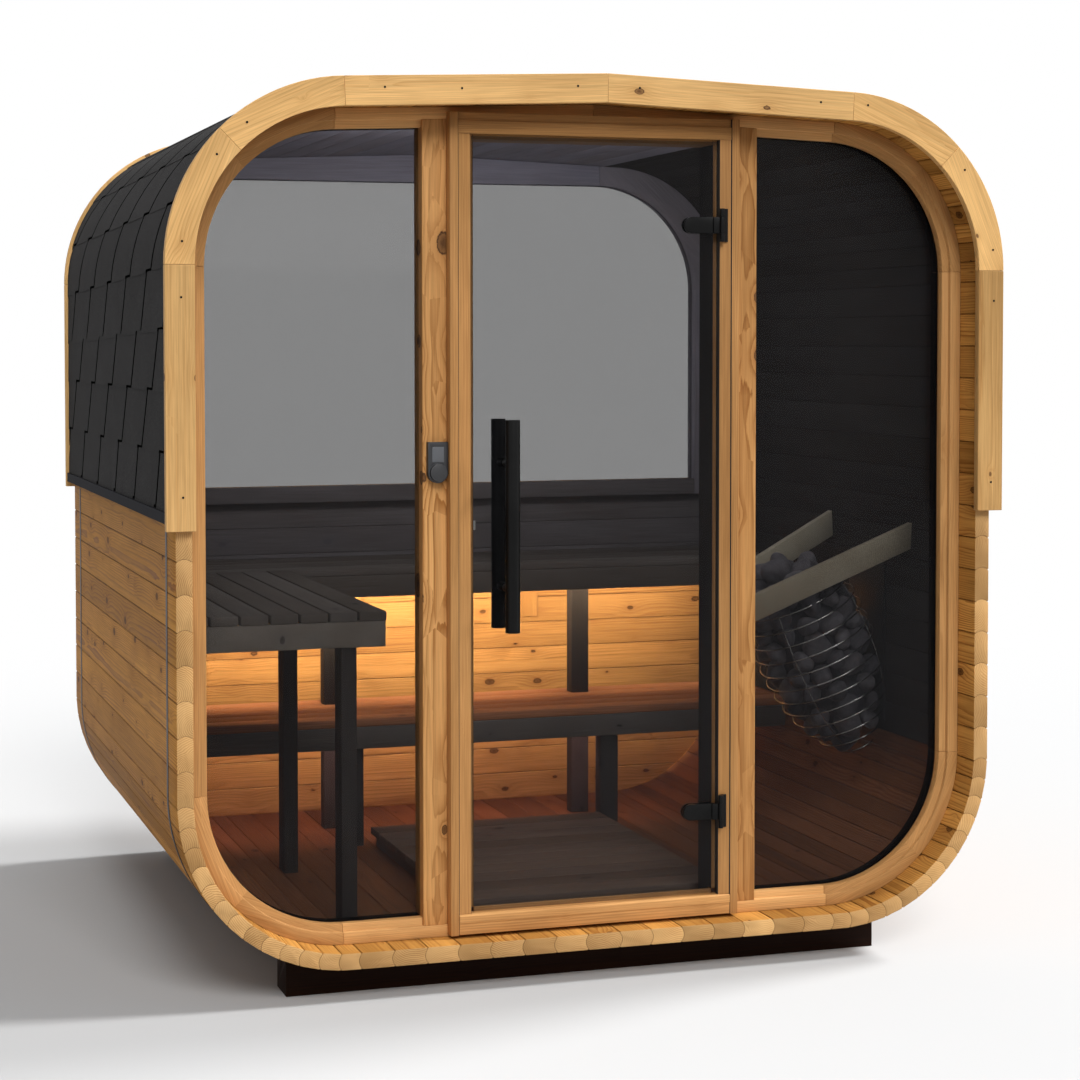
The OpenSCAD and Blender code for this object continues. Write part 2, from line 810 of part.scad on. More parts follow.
module door_catch() {
    x = jamb_in - stop_w;
    color("white") placed()
        translate([-x, leaf_back + door_gap + 1, handle_mid - 12]) cube([6, 12, 24]);
}

// ---------- door leaf ----------

// Turns the leaf's pieces about the hinge pins.
module swung() {
    placed() translate([hinge_x, hinge_y, 0]) rotate([0, 0, door_angle])
        translate([-hinge_x, -hinge_y, 0]) children();
}

hinge_zs = [leaf_z0 + hinge_end, leaf_z1 - hinge_end];
arm_x1 = leaf_half - 3;
arm_x0 = arm_x1 - hinge_l;
arm_front = leaf_y - arm_t;
clamp_x1 = jamb_in - stop_w - door_gap;
bolt_r = 4;
bolt_xs = [arm_x0 + hinge_h / 2, clamp_x1 - 12];

module door_glass() {
    color([0.2, 0.2, 0.22, 0.6]) swung() difference() {
        slab(leaf_y, leaf_back) polygon([
            [-leaf_half, leaf_z0], [leaf_half, leaf_z0],
            [leaf_half, leaf_z1], [-leaf_half, leaf_z1]]);
        for (s = [-1, 1])
            translate([handle_x, leaf_y - 1, handle_mid + s * handle_pitch / 2])
                rotate([-90, 0, 0]) cylinder(h = glass_t + 2, r = stud_r + seat);
        for (z = hinge_zs, x = bolt_xs)
            translate([x, leaf_y - 1, z]) rotate([-90, 0, 0])
                cylinder(h = glass_t + 2, r = bolt_r + seat);
    }
}

// Outline of a clamp plate that ends at x1, round at its free end.
module arm_outline(x1) {
    r = hinge_h / 2;
    translate([arm_x0 + r, 0]) circle(r);
    translate([arm_x0 + r, -r]) square([x1 - arm_x0 - r, hinge_h]);
}

module door_hinge_clamps() {
    color([0.1, 0.1, 0.1]) swung() for (z = hinge_zs) difference() {
        translate([0, 0, z]) {
            slab(arm_front, leaf_y - seat) arm_outline(arm_x1);
            slab(leaf_back + seat, leaf_back + arm_t) arm_outline(clamp_x1);
            for (x = bolt_xs) translate([x, arm_front, 0]) rotate([-90, 0, 0])
                cylinder(h = leaf_back + arm_t - arm_front, r = bolt_r);
            slab(hinge_y + 4, arm_front + 1)
                translate([arm_x1 - 12, -hinge_h / 2]) square([hinge_x - arm_x1 + 12, hinge_h]);
            translate([hinge_x, hinge_y, -hinge_h / 2]) cylinder(h = hinge_h, r = hinge_r);
        }
        translate([hinge_x, hinge_y, z - hinge_h])
            cylinder(h = 2 * hinge_h, r = pin_r + pin_play);
    }
}

module door_hinge_plates() {
    knuckle = (hinge_plate_h - hinge_h) / 2 - 1;
    color([0.1, 0.1, 0.1]) placed() for (z = hinge_zs) {
        translate([hinge_x + 1, casing_y + 3 - hinge_plate_t, z - hinge_plate_h / 2])
            cube([19, hinge_plate_t, hinge_plate_h]);
        translate([hinge_x, hinge_y, z - hinge_plate_h / 2])
            cylinder(h = hinge_plate_h, r = pin_r);
        for (e = [-hinge_plate_h / 2, hinge_plate_h / 2 - knuckle]) {
            translate([hinge_x, hinge_y, z + e]) cylinder(h = knuckle, r = hinge_r);
            translate([hinge_x + 1, hinge_y, z + e])
                cube([hinge_r - 1, casing_y + 3 - hinge_y, knuckle]);
        }
    }
}

module door_handle() {
    color([0.08, 0.08, 0.08]) swung() {
        for (s = [-1, 1])
            translate([handle_x, handle_y + s * handle_out, handle_mid - handle_l / 2])
                cylinder(h = handle_l, d = handle_d);
        for (s = [-1, 1])
            translate([handle_x, handle_y - handle_out, handle_mid + s * handle_pitch / 2])
                rotate([-90, 0, 0]) {
                    cylinder(h = 2 * handle_out, r = stud_r);
                    translate([0, 0, handle_d / 2 - 2])
                        cylinder(h = handle_out - handle_d / 2 + 2 - glass_t / 2 - seat, r = 11);
                    translate([0, 0, handle_out + glass_t / 2 + seat])
                        cylinder(h = handle_out - handle_d / 2 + 2 - glass_t / 2 - seat, r = 11);
                }
    }
}

// ---------- benches ----------

// Slats that run across the room, from the front edge y0 back.
module cross_slats(x0, x1, y0, z, n) {
    for (k = [0:n - 1])
        translate([x0, y0 + k * slat_step, z - slat_t]) cube([x1 - x0, slat_w, slat_t]);
}

// Boards under the slats: a front and a back rail joined by bearers at the given places.
module bench_frame(x0, x1, y0, y1, z, bearers) {
    zb = z - slat_t - rail_h;
    translate([x0, y0, zb]) cube([x1 - x0, rail_t, rail_h]);
    translate([x0, y1 - rail_t, zb]) cube([x1 - x0, rail_t, rail_h]);
    for (x = bearers)
        translate([x, y0 + rail_t + seat, zb])
            cube([rail_t, y1 - y0 - 2 * (rail_t + seat), rail_h]);
}

lower_end = bend_x + sqrt(inner_r * inner_r
    - pow(bend_r - (lower_z - slat_t - rail_h), 2)) - 4;
bearer_in = (post_a - rail_t) / 2;

module upper_bench_slats() {
    color("dimgray") placed()
        cross_slats(side_x0, -side_x0, upper_y0, upper_z, rear_slats);
}

module upper_bench_frame() {
    color([0.35, 0.33, 0.31]) placed()
        bench_frame(side_x0, -side_x0, upper_y0, upper_y1, upper_z,
            [side_x0, left_post_x + bearer_in, right_post_x + bearer_in, -side_x0 - rail_t]);
}

module lower_bench_slats() {
    color("dimgray") placed()
        cross_slats(-lower_end, lower_end, lower_y0, lower_z, rear_slats);
}

module lower_bench_frame() {
    color([0.35, 0.33, 0.31]) placed()
        bench_frame(-lower_end, lower_end, lower_y0, lower_y0 + rear_depth, lower_z,
            [-lower_end, left_post_x + bearer_in, right_post_x + bearer_in,
             lower_end - rail_t]);
}

module side_bench_slats() {
    color("dimgray") placed() for (k = [0:side_slats - 1])
        translate([side_x0 + k * slat_step, side_front, upper_z - slat_t])
            cube([slat_w, side_y1 - side_front, slat_t]);
}

module side_bench_frame() {
    zb = upper_z - slat_t - rail_h;
    length = side_y1 - side_front;
    color([0.35, 0.33, 0.31]) placed() {
        translate([side_x0, side_front + 2, zb]) cube([side_width - 2, rail_t, rail_h]);
        for (x = [side_x0, side_x1 - 2 - rail_t])
            translate([x, side_front + 2 + rail_t + seat, zb])
                cube([rail_t, length - 2 - rail_t - seat, rail_h]);
        for (y = [side_mid, side_y1 - rail_t])
            translate([side_x0 + rail_t + seat, y, zb])
                cube([side_width - 2 - 2 * (rail_t + seat), rail_t, rail_h]);
    }
}

module leg(x, y, a, b, z0, z1) {
    translate([x, y, z0]) cube([a, b, z1 - z0]);
}

module bench_legs() {
    upper_under = upper_z - slat_t - rail_h;
    lower_under = lower_z - slat_t - rail_h;
    color([0.3, 0.28, 0.27]) placed() {
        for (y = [side_front + 15, side_mid - 20])
            leg(side_leg_x, y, leg_a, leg_b, stave_t, upper_under);
        for (x = [left_post_x, right_post_x]) {
            leg(x, rear_post_y, post_a, post_b, lower_z, upper_under);
            for (y = [front_post_y, rear_post_y])
                leg(x, y, post_a, post_b, stave_t, lower_under);
        }
    }
}

module duckboard() {
    z1 = stave_t + duck_h;
    length = duck_slats * duck_step - slat_gap;
    color([0.4, 0.33, 0.28]) placed() {
        for (k = [0:duck_slats - 1])
            translate([duck_x - duck_w / 2, duck_y0 + k * duck_step, z1 - duck_slat_t])
                cube([duck_w, duck_slat_w, duck_slat_t]);
        for (x = [-duck_w / 2 + 12, -22, duck_w / 2 - 57])
            translate([duck_x + x, duck_y0 + 20, stave_t])
                cube([45, length - 40, duck_h - duck_slat_t - seat]);
    }
}

// ---------- heater ----------

// Radius of the basket at t along its axis, measured from the widest hoop.
function basket_r(t) =
    t < 0 ? heater_r * pow(max(0, 1 - pow(t / tip_t, 2.3)), 0.62)
          : heater_r * (1 - 0.09 * pow(t / rim_t, 2));

// Stands a piece made about the Z axis in the heater's place, leaning towards the room.
module leaning() {
    placed() translate([heater_x, heater_y, heater_z]) rotate([0, -heater_lean, 0])
        children();
}

// Cuts a piece flat where it meets the back plate against the wall.
module cut_at_wall(gap) {
    intersection() {
        children();
        placed() translate([0, 0, 0]) cube([wall_in - gap, shell_d, 2 * shoulder_z]);
    }
}

module heater_stones() {
    in = 9;
    steps = 24;
    low = [for (i = [0:steps]) let (t = (tip_t + 15) * (1 - i / steps))
        [max(0.01, basket_r(t) - in), t]];
    dome = [for (i = [0:8]) let (a = 90 * i / 8)
        [(basket_r(rim_t) - in) * cos(a), rim_t + (top_t - rim_t) * sin(a)]];
    color([0.3, 0.29, 0.3]) cut_at_wall(plate_t + seat) leaning() rotate_extrude()
        polygon(concat([[0, tip_t + 15]], low, dome));
}

module heater_basket() {
    bar = 4;
    steps = 24;
    color([0.12, 0.12, 0.12]) {
        cut_at_wall(plate_t - 0.1) leaning() {
            for (i = [0:hoop_n - 1])
                let (t = tip_t + 25 + (rim_t - tip_t - 25) * i / (hoop_n - 1))
                rotate_extrude() translate([basket_r(t) - 2, t - bar / 2]) square([bar, bar]);
            for (i = [0:rib_n - 1]) rotate([0, 0, (i + 0.5) * 360 / rib_n])
                rotate([0, 0, -0.9]) rotate_extrude(angle = 1.8) polygon(concat(
                    [for (k = [0:steps])
                        let (t = tip_t + 25 + (rim_t - tip_t - 25) * k / steps)
                        [basket_r(t) - 4.5, t]],
                    [for (k = [steps:-1:0])
                        let (t = tip_t + 25 + (rim_t - tip_t - 25) * k / steps)
                        [basket_r(t) - 1, t]]));
        }
        // Back plate on the wall.
        placed() translate([wall_in - plate_t, heater_y - plate_w / 2, heater_z - plate_h / 2])
            cube([plate_t - seat, plate_w, plate_h]);
    }
}

// Outline of the guard from above, a board's thickness t inside its outer faces.
function guard_outline(t) = [
    [guard_h, -guard_wide - guard_h / 5 + t], [-guard_reach + t, -guard_narrow + t],
    [-guard_reach + t, guard_narrow - t], [guard_h, guard_wide + guard_h / 5 - t]];

// Outline of a saw cut along the mitre at the corner p, towards q inside it.
function mitre_cut(p, q) =
    let (d = (q - p) / norm(q - p), n = [-d[1], d[0]] * seat / 2, e = d * seat)
    [p - e + n, p - e - n, q + e - n, q + e + n];

// Three boards round the heater, mitred, in one plane that leans with the basket.
module heater_guard() {
    out = guard_outline(0);
    in = guard_outline(guard_t);
    color([0.55, 0.5, 0.42]) intersection() {
        placed() translate([wall_in, heater_y, guard_z - guard_h / cos(heater_lean)])
            rotate([0, -heater_lean, 0]) linear_extrude(height = guard_h)
                for (k = [0:2]) difference() {
                    polygon([out[k], out[k + 1], in[k + 1], in[k]]);
                    for (c = [1, 2]) polygon(mitre_cut(out[c], in[c]));
                }
        placed() cube([wall_in - seat, shell_d, 2 * shoulder_z]);
    }
}

// ---------- controller and light ----------

control_x = -(jamb_out + post_w / 2 - 4);
knob_z = control_z - control_h / 2 + control_w / 2;

module controller() {
    knob_r = control_w / 2 - 4;
    color([0.12, 0.12, 0.13]) placed() difference() {
        translate([control_x, 0, 0]) slab(wall_inset - control_t, wall_inset - seat) union() {
            translate([0, knob_z]) circle(d = control_w);
            translate([-control_w / 2, knob_z])
                square([control_w, control_z + control_h / 2 - knob_z]);
        }
        translate([control_x - 16, wall_inset - control_t - 1, knob_z + knob_r + 12])
            cube([32, 2, 34]);
        translate([control_x, wall_inset - control_t - 1, knob_z]) rotate([-90, 0, 0])
            cylinder(h = 4, r = knob_r + 1);
    }
}

module controller_knob() {
    knob_r = control_w / 2 - 4;
    color([0.08, 0.08, 0.08]) placed()
        translate([control_x, wall_inset - control_t - 9, knob_z]) rotate([-90, 0, 0])
            cylinder(h = 12 - seat, r = knob_r);
}

// The strip runs behind the back rail's face, in lengths between the bearers.
module light_strip() {
    play = 3;
    ends = [side_x1 + slat_t, left_post_x + bearer_in, right_post_x + bearer_in,
            -side_x0 - rail_t];
    starts = [ends[0], ends[1] + rail_t, ends[2] + rail_t];
    color([1, 0.85, 0.6]) placed() for (i = [0:2])
        translate([starts[i] + play, upper_y1 - rail_t - strip_w - play,
                   upper_z - slat_t - strip_h - seat])
            cube([ends[i + 1] - starts[i] - 2 * play, strip_w, strip_h]);
}

floor_staves();
wall_staves_left();
wall_staves_right();
roof_staves_left();
roof_staves_right();
lower_corner_staves();
upper_corner_staves();
shingles_left();
shingles_right();
drip_edges();
fascia_front();
fascia_rear();
steel_bands();
cradle_front();
cradle_rear();
front_wall_frame();
rear_wall_frame();
front_posts();
door_jambs();
door_head();
door_sill();
glass_left();
glass_right();
rear_wall_boards();
rear_window_sill();
rear_window();
door_glass();
door_hinge_clamps();
door_handle();
door_hinge_plates();
door_catch();
upper_bench_slats();
upper_bench_frame();
lower_bench_slats();
lower_bench_frame();
side_bench_slats();
side_bench_frame();
bench_legs();
duckboard();
heater_stones();
heater_basket();
heater_guard();
controller();
controller_knob();
light_strip();
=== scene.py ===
"""Looks of a rounded-square outdoor sauna: timber staves, shingled roof, smoked glass, dark
benches with a warm light under them, and a stone heater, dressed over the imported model."""
import json
import math
import random
from contextlib import contextmanager

import bmesh
import bpy
import numpy as np
from mathutils import Matrix, Vector, noise

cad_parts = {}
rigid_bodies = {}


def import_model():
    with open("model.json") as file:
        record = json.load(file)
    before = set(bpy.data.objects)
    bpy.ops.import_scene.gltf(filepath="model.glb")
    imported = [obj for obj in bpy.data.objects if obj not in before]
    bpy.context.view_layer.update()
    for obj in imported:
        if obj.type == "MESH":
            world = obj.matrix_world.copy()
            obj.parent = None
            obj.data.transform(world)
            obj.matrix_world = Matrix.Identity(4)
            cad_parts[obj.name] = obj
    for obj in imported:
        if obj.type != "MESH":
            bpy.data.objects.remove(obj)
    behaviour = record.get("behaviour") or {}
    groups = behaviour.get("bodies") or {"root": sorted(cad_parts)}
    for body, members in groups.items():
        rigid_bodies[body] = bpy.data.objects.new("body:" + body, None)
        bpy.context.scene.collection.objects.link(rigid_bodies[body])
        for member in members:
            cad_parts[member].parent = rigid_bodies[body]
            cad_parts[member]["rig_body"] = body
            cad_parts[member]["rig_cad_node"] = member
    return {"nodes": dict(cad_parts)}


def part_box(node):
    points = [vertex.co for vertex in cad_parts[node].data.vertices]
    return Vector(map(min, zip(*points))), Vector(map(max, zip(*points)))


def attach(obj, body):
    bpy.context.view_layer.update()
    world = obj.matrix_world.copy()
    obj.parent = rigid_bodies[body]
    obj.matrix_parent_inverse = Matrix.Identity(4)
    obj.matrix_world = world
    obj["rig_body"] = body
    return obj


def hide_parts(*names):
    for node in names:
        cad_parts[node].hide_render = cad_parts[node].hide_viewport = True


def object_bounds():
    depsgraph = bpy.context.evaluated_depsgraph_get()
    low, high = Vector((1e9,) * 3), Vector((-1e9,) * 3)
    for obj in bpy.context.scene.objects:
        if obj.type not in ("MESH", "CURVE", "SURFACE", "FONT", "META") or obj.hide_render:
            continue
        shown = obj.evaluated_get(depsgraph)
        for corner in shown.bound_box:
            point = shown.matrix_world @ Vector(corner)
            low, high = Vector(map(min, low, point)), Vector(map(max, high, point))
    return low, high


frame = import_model()
CAD_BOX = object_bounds()
NODES = frame["nodes"]
rng = random.Random(17)

# ---- sizes read from the frame
FRONT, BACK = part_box("floor_staves")[0].y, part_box("floor_staves")[1].y
STAVE_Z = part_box("floor_staves")[0].z
HALF_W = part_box("wall_staves_right")[1].x
BEND_R = 0.447
BEND_X = HALF_W - BEND_R
SHOULDER_Z = STAVE_Z + 1.785
ROOF_FALL = math.radians(2.26)
TURN = math.pi / 2 - ROOF_FALL
EAVE_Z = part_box("drip_edges")[1].z
FACE_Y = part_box("fascia_rear")[1].y
ROOM_Y = (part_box("rear_window")[0].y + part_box("rear_window")[1].y) / 2
BENCH_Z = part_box("upper_bench_slats")[1].z
FASCIA_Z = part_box("fascia_front")[0].z
DOOR_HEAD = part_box("door_head")[1]
SIDEWAYS, LENGTHWISE, UPRIGHT = (1, 0, 0), (0, 1, 0), (0, 0, 1)

# ---- shader helpers


def feed(tree, node, sockets):
    """Gives the node's sockets their values: an output to link, a number or a colour."""
    for key, value in sockets.items():
        socket = node.inputs[key]
        if isinstance(value, bpy.types.NodeSocket):
            tree.links.new(value, socket)
        elif socket.type == "RGBA":
            socket.default_value = (*value, 1.0)
        else:
            socket.default_value = value
    return node


def add_node(tree, kind, sockets=None, **settings):
    """A shader node with its settings made and its sockets fed."""
    node = tree.nodes.new("ShaderNode" + kind)
    for key, value in settings.items():
        setattr(node, key, value)
    return feed(tree, node, sockets or {})


def cleared_tree(owner):
    """The node tree of a material or a world, with nothing left in it."""
    owner.use_nodes = True
    owner.node_tree.nodes.clear()
    return owner.node_tree


def new_material(name):
    """A material with its node tree cleared down to a Principled shader."""
    mat = bpy.data.materials.new(name)
    tree = cleared_tree(mat)
    bsdf = add_node(tree, "BsdfPrincipled")
    add_node(tree, "OutputMaterial", {0: bsdf.outputs[0]})
    return mat, tree, bsdf


def maths(tree, operation, *values, clamp=False):
    """A Math node on sockets or numbers."""
    node = add_node(tree, "Math", dict(enumerate(values)), operation=operation,
                    use_clamp=clamp)
    return node.outputs[0]


def vector_length(tree, vector):
    return add_node(tree, "VectorMath", {0: vector}, operation="LENGTH").outputs["Value"]


def scaled(tree, vector, scale):
    """The vector times a scale on each axis."""
    return add_node(tree, "Mapping", {"Scale": scale, "Vector": vector}).outputs[0]


def noise_node(tree, vector, scale, detail=3.0, rough=0.55):
    """Cloudy noise. The scale is one number, or one for each axis."""
    if isinstance(scale, tuple):
        vector = scaled(tree, vector, scale)
        scale = 1.0
    node = add_node(tree, "TexNoise", {"Scale": scale, "Detail": detail,
                                       "Roughness": rough, "Vector": vector})
    return node.outputs["Fac"]


def ramp(tree, fac, *stops):
    """A colour ramp with (place, colour) stops. A single number stands for a grey."""
    node = add_node(tree, "ValToRGB", {0: fac})
    stops = [(place, (c, c, c) if isinstance(c, float) else c) for place, c in stops]
    elements = node.color_ramp.elements
    for element, (place, colour) in zip(elements, (stops[0], stops[-1])):
        element.position = place
        element.color = (*colour, 1.0)
    for place, colour in stops[1:-1]:
        elements.new(place).color = (*colour, 1.0)
    return node.outputs[0]


def mix_colour(tree, fac, a, b, blend="MIX"):
    node = add_node(tree, "Mix", {}, data_type="RGBA", blend_type=blend)
    return feed(tree, node, {0: fac, 6: a, 7: b}).outputs[2]


def tinted(tree, colour, tint):
    """The colour multiplied by the tint."""
    return mix_colour(tree, 1.0, colour, tint, "MULTIPLY")


def bump(tree, height, bsdf, strength, distance):
    node = add_node(tree, "Bump", {"Strength": strength, "Distance": distance,
                                   "Height": height})
    feed(tree, bsdf, {"Normal": node.outputs[0]})


def attribute(tree, name, output="Fac"):
    return add_node(tree, "Attribute", attribute_name=name).outputs[output]


def object_place(tree):
    return add_node(tree, "TexCoord").outputs["Object"]


# ---- materials

KNOT_CELLS = (11.0, 5.6, 25.0)
KNOT_SPREAD = (1 / 11.0, 0.6 / 5.6, 1 / 37.0)
SEAM_DARK, SEAM_CLEAR = 0.0001, 0.0008


def knot_field(tree, grain, knots, knot_mm):
    """Knots: one cell each 90 x 180 x 40 mm, and in some cells the stub of a branch.
    Returns which cells have one, the distance in knot sizes, and the grain's swirl."""
    flat = scaled(tree, grain, KNOT_CELLS)
    cell = add_node(tree, "TexVoronoi", {"Scale": 1.0, "Randomness": 0.8, "Vector": flat},
                    feature="F1").outputs
    from_knot = add_node(tree, "VectorMath", {0: flat, 1: cell["Position"]},
                         operation="SUBTRACT").outputs[0]
    away = vector_length(tree, scaled(tree, from_knot, KNOT_SPREAD))
    chance = add_node(tree, "SeparateColor", {0: cell["Color"]}).outputs
    has_knot = maths(tree, "LESS_THAN", chance[0], 0.55 * knots)
    size = maths(tree, "MULTIPLY_ADD", chance[1], knot_mm / 1000, knot_mm / 3000)
    ragged = noise_node(tree, grain, (160.0, 90.0, 10.0))
    near = maths(tree, "ADD", maths(tree, "DIVIDE", away, size),
                 maths(tree, "MULTIPLY_ADD", ragged, 0.5, -0.25))
    swirl = maths(tree, "EXPONENT", maths(tree, "MULTIPLY", near, -0.55))
    return has_knot, near, maths(tree, "MULTIPLY", swirl, has_knot)


def ring_field(tree, grain, swirl, ring_mm, contrast):
    """How much late wood shows. The rings run round the pith, wander slowly along the
    board and bulge round knots."""
    wander = noise_node(tree, grain, (5.0, 0.9, 5.0), 2.0, 0.4)
    at = add_node(tree, "SeparateXYZ", {0: grain}).outputs
    across = maths(tree, "MULTIPLY_ADD", wander, 0.05, at[0])
    pith = add_node(tree, "CombineXYZ", {0: across, 2: at[2]}).outputs[0]
    ring = maths(tree, "MULTIPLY", vector_length(tree, pith), 1000.0 / ring_mm)
    ring = maths(tree, "ADD", ring, maths(tree, "MULTIPLY", swirl, 3.2))
    ripple = noise_node(tree, grain, (60.0, 3.0, 60.0), 2.0)
    ring = maths(tree, "ADD", ring, maths(tree, "MULTIPLY", ripple, 0.9))
    late_wood = ramp(tree, maths(tree, "FRACT", ring),
                     (0.0, 0.0), (0.45, 0.1), (0.8, 0.7), (0.92, 1.0), (1.0, 0.0))
    strength = noise_node(tree, grain, (9.0, 1.3, 9.0), 2.0)
    strength = maths(tree, "MULTIPLY_ADD", strength, 1.9 * contrast, -0.22)
    return maths(tree, "MULTIPLY", late_wood, strength, clamp=True)


def timber(name, early, late, knot, tone=0.16, knots=1.0, knot_mm=9.0, ring_mm=5.0,
           rough=0.6, shine=0.12, ends=None, relief=0.3, contrast=1.0, groove_shade=0.0):
    """Sawn softwood. Growth rings run round a pith beside each board, so faces show long
    grain and ends show arcs. The board's own frame comes from its 'grain' attribute, and
    its tone from 'board'."""
    mat, tree, bsdf = new_material(name)
    grain = attribute(tree, "grain", "Vector")
    has_knot, near, swirl = knot_field(tree, grain, knots, knot_mm)
    late_wood = ring_field(tree, grain, swirl, ring_mm, contrast)
    colour = mix_colour(tree, late_wood, early, late)

    # fibre streaks, slow stains and the board's own tone
    fibre = noise_node(tree, grain, (300.0, 6.0, 300.0))
    streak = ramp(tree, fibre, (0.3, (0.82, 0.8, 0.77)), (0.7, (1.09, 1.08, 1.06)))
    colour = tinted(tree, colour, streak)
    stain = noise_node(tree, grain, (7.0, 1.6, 7.0), 4.0)
    stain = ramp(tree, stain, (0.3, (0.84, 0.79, 0.72)), (0.7, (1.1, 1.08, 1.04)))
    colour = tinted(tree, colour, stain)
    low, high = 1.0 - tone, 1.0 + tone * 0.8
    tones = ramp(tree, attribute(tree, "board"), (0.0, (low, low * 0.96, low * 0.9)),
                 (0.5, 1.0), (1.0, (high, high, high * 0.98)))
    colour = tinted(tree, colour, tones)

    # the knot itself, darker at its rim and heart, in a warm halo
    colour = mix_colour(tree, maths(tree, "MULTIPLY", swirl, 0.75), colour, late)
    heart = ramp(tree, near, (0.0, 1.0), (0.3, 0.8), (0.7, 0.62), (0.88, 1.0), (1.0, 0.0))
    heart = maths(tree, "MULTIPLY", heart, has_knot)
    colour = mix_colour(tree, heart, colour, knot)
    # Painted shade in the joints: a groove's narrow faces darken towards their edges, and
    # faces where two boards meet go dark.
    if groove_shade:
        sides = attribute(tree, "sides", "Vector")
        side = add_node(tree, "SeparateXYZ", {0: sides}).outputs
        seam = add_node(tree, "MapRange", {
            "From Min": SEAM_DARK, "From Max": SEAM_CLEAR, "To Min": groove_shade, "To Max": 0.0,
            "Value": maths(tree, "MINIMUM", side[0], side[1])}).outputs[0]
        colour = mix_colour(tree, seam, colour, tuple(0.12 * c for c in late))
    if ends:
        cut = mix_colour(tree, maths(tree, "MULTIPLY", late_wood, 0.8), ends, late)
        cut = tinted(tree, tinted(tree, cut, tones), stain)
        colour = mix_colour(tree, attribute(tree, "sawn_end"), colour, cut)
    feed(tree, bsdf, {"Base Color": colour, "Specular IOR Level": shine,
                      "Roughness": maths(tree, "MULTIPLY_ADD", late_wood, -0.12, rough)})
    height = maths(tree, "ADD", maths(tree, "MULTIPLY", late_wood, 0.5), fibre)
    bump(tree, height, bsdf, relief, 0.0006)
    return mat


def stained(name, early, late, knot, tone=0.1, knots=0.3, rough=0.75, shine=0.05,
            contrast=0.6):
    """Timber under a stain that hides most of the grain."""
    return timber(name, early, late, knot, tone=tone, knots=knots, rough=rough,
                  shine=shine, relief=0.1, contrast=contrast)


def room_shade_paint(name, early, late, knot, tone=0.06, knots=0.3, relief=0.05, contrast=0.4):
    """Painted shade of the room's walls and ceiling: an even, matt dark finish on the timber
    that stands in for the shade of the closed room.
    """
    return timber(name, early, late, knot, tone=tone, knots=knots, shine=0.0,
                  relief=relief, contrast=contrast)


def granules():
    """Bitumen shingle: charcoal mineral granules, each tab in its own tone."""
    mat, tree, bsdf = new_material("shingle_granules")
    grain = attribute(tree, "grain", "Vector")
    grit = add_node(tree, "TexVoronoi", {"Scale": 620.0, "Vector": grain}).outputs
    speckle = add_node(tree, "SeparateColor", {0: grit["Color"]}).outputs[0]
    colour = ramp(tree, speckle, (0.0, (0.005, 0.005, 0.006)), (0.55, (0.013, 0.012, 0.012)),
                  (0.9, (0.026, 0.0245, 0.024)), (1.0, (0.06, 0.057, 0.055)))
    blotch = noise_node(tree, grain, 7.0, 4.0)
    blotch = ramp(tree, blotch, (0.3, (0.78, 0.77, 0.76)), (0.7, (1.2, 1.2, 1.22)))
    tones = ramp(tree, attribute(tree, "board"), (0.0, (0.84, 0.83, 0.82)),
                 (1.0, (1.16, 1.15, 1.15)))
    colour = tinted(tree, tinted(tree, colour, blotch), tones)
    feed(tree, bsdf, {"Base Color": colour, "Roughness": 0.85, "Specular IOR Level": 0.12})
    bump(tree, grit["Distance"], bsdf, 0.7, 0.0012)
    return mat


def coated_metal(name, colour, rough, metallic=0.0, shine=0.25):
    """Powder-coated or blackened metal with a fine orange-peel surface."""
    mat, tree, bsdf = new_material(name)
    place = object_place(tree)
    peel = noise_node(tree, place, 900.0, 2.0)
    dust = noise_node(tree, place, 6.0, 4.0)
    dark = tuple(c * 0.75 for c in colour)
    pale = tuple(c * 1.35 + 0.002 for c in colour)
    feed(tree, bsdf, {"Base Color": ramp(tree, dust, (0.3, dark), (0.75, pale)),
                      "Roughness": maths(tree, "MULTIPLY_ADD", dust, 0.15, rough - 0.07),
                      "Metallic": metallic, "Specular IOR Level": shine})
    bump(tree, peel, bsdf, 0.25, 0.0004)
    return mat


def smoked_glass():
    """Grey tinted glass that lets about two thirds of the light through each pane."""
    mat, tree, bsdf = new_material("smoked_glass")
    smear = noise_node(tree, object_place(tree), 3.0)
    tint = ramp(tree, smear, (0.3, (0.006, 0.006, 0.007)), (0.7, (0.01, 0.01, 0.011)))
    feed(tree, bsdf, {"Base Color": tint, "Alpha": 0.315, "IOR": 1.5,
                      "Roughness": maths(tree, "MULTIPLY_ADD", smear, 0.03, 0.01),
                      "Specular IOR Level": 0.12})
    return mat


def stone():
    """Split dark olivine: mottled, rough and slightly glittering."""
    mat, tree, bsdf = new_material("heater_stone")
    mottle = noise_node(tree, object_place(tree), 45.0, 6.0, 0.65)
    colour = ramp(tree, mottle, (0.3, (0.065, 0.06, 0.068)), (0.6, (0.125, 0.117, 0.13)),
                  (0.8, (0.19, 0.18, 0.195)))
    tones = ramp(tree, attribute(tree, "board"), (0.0, (0.65, 0.65, 0.68)),
                 (1.0, (1.3, 1.27, 1.25)))
    feed(tree, bsdf, {"Base Color": tinted(tree, colour, tones), "Roughness": 0.78})
    bump(tree, mottle, bsdf, 0.6, 0.003)
    return mat


def moulded_plastic(name, colour, rough):
    """Plastic with the fine matt grain of its mould."""
    mat, tree, bsdf = new_material(name)
    place = object_place(tree)
    spark = noise_node(tree, place, 1400.0, 2.0)
    soft = noise_node(tree, place, 25.0, 2.0)
    tint = ramp(tree, soft, (0.3, tuple(c * 0.9 for c in colour)), (0.7, colour))
    feed(tree, bsdf, {"Base Color": tint,
                      "Roughness": maths(tree, "MULTIPLY_ADD", soft, 0.1, rough - 0.05)})
    bump(tree, spark, bsdf, 0.2, 0.0003)
    return mat


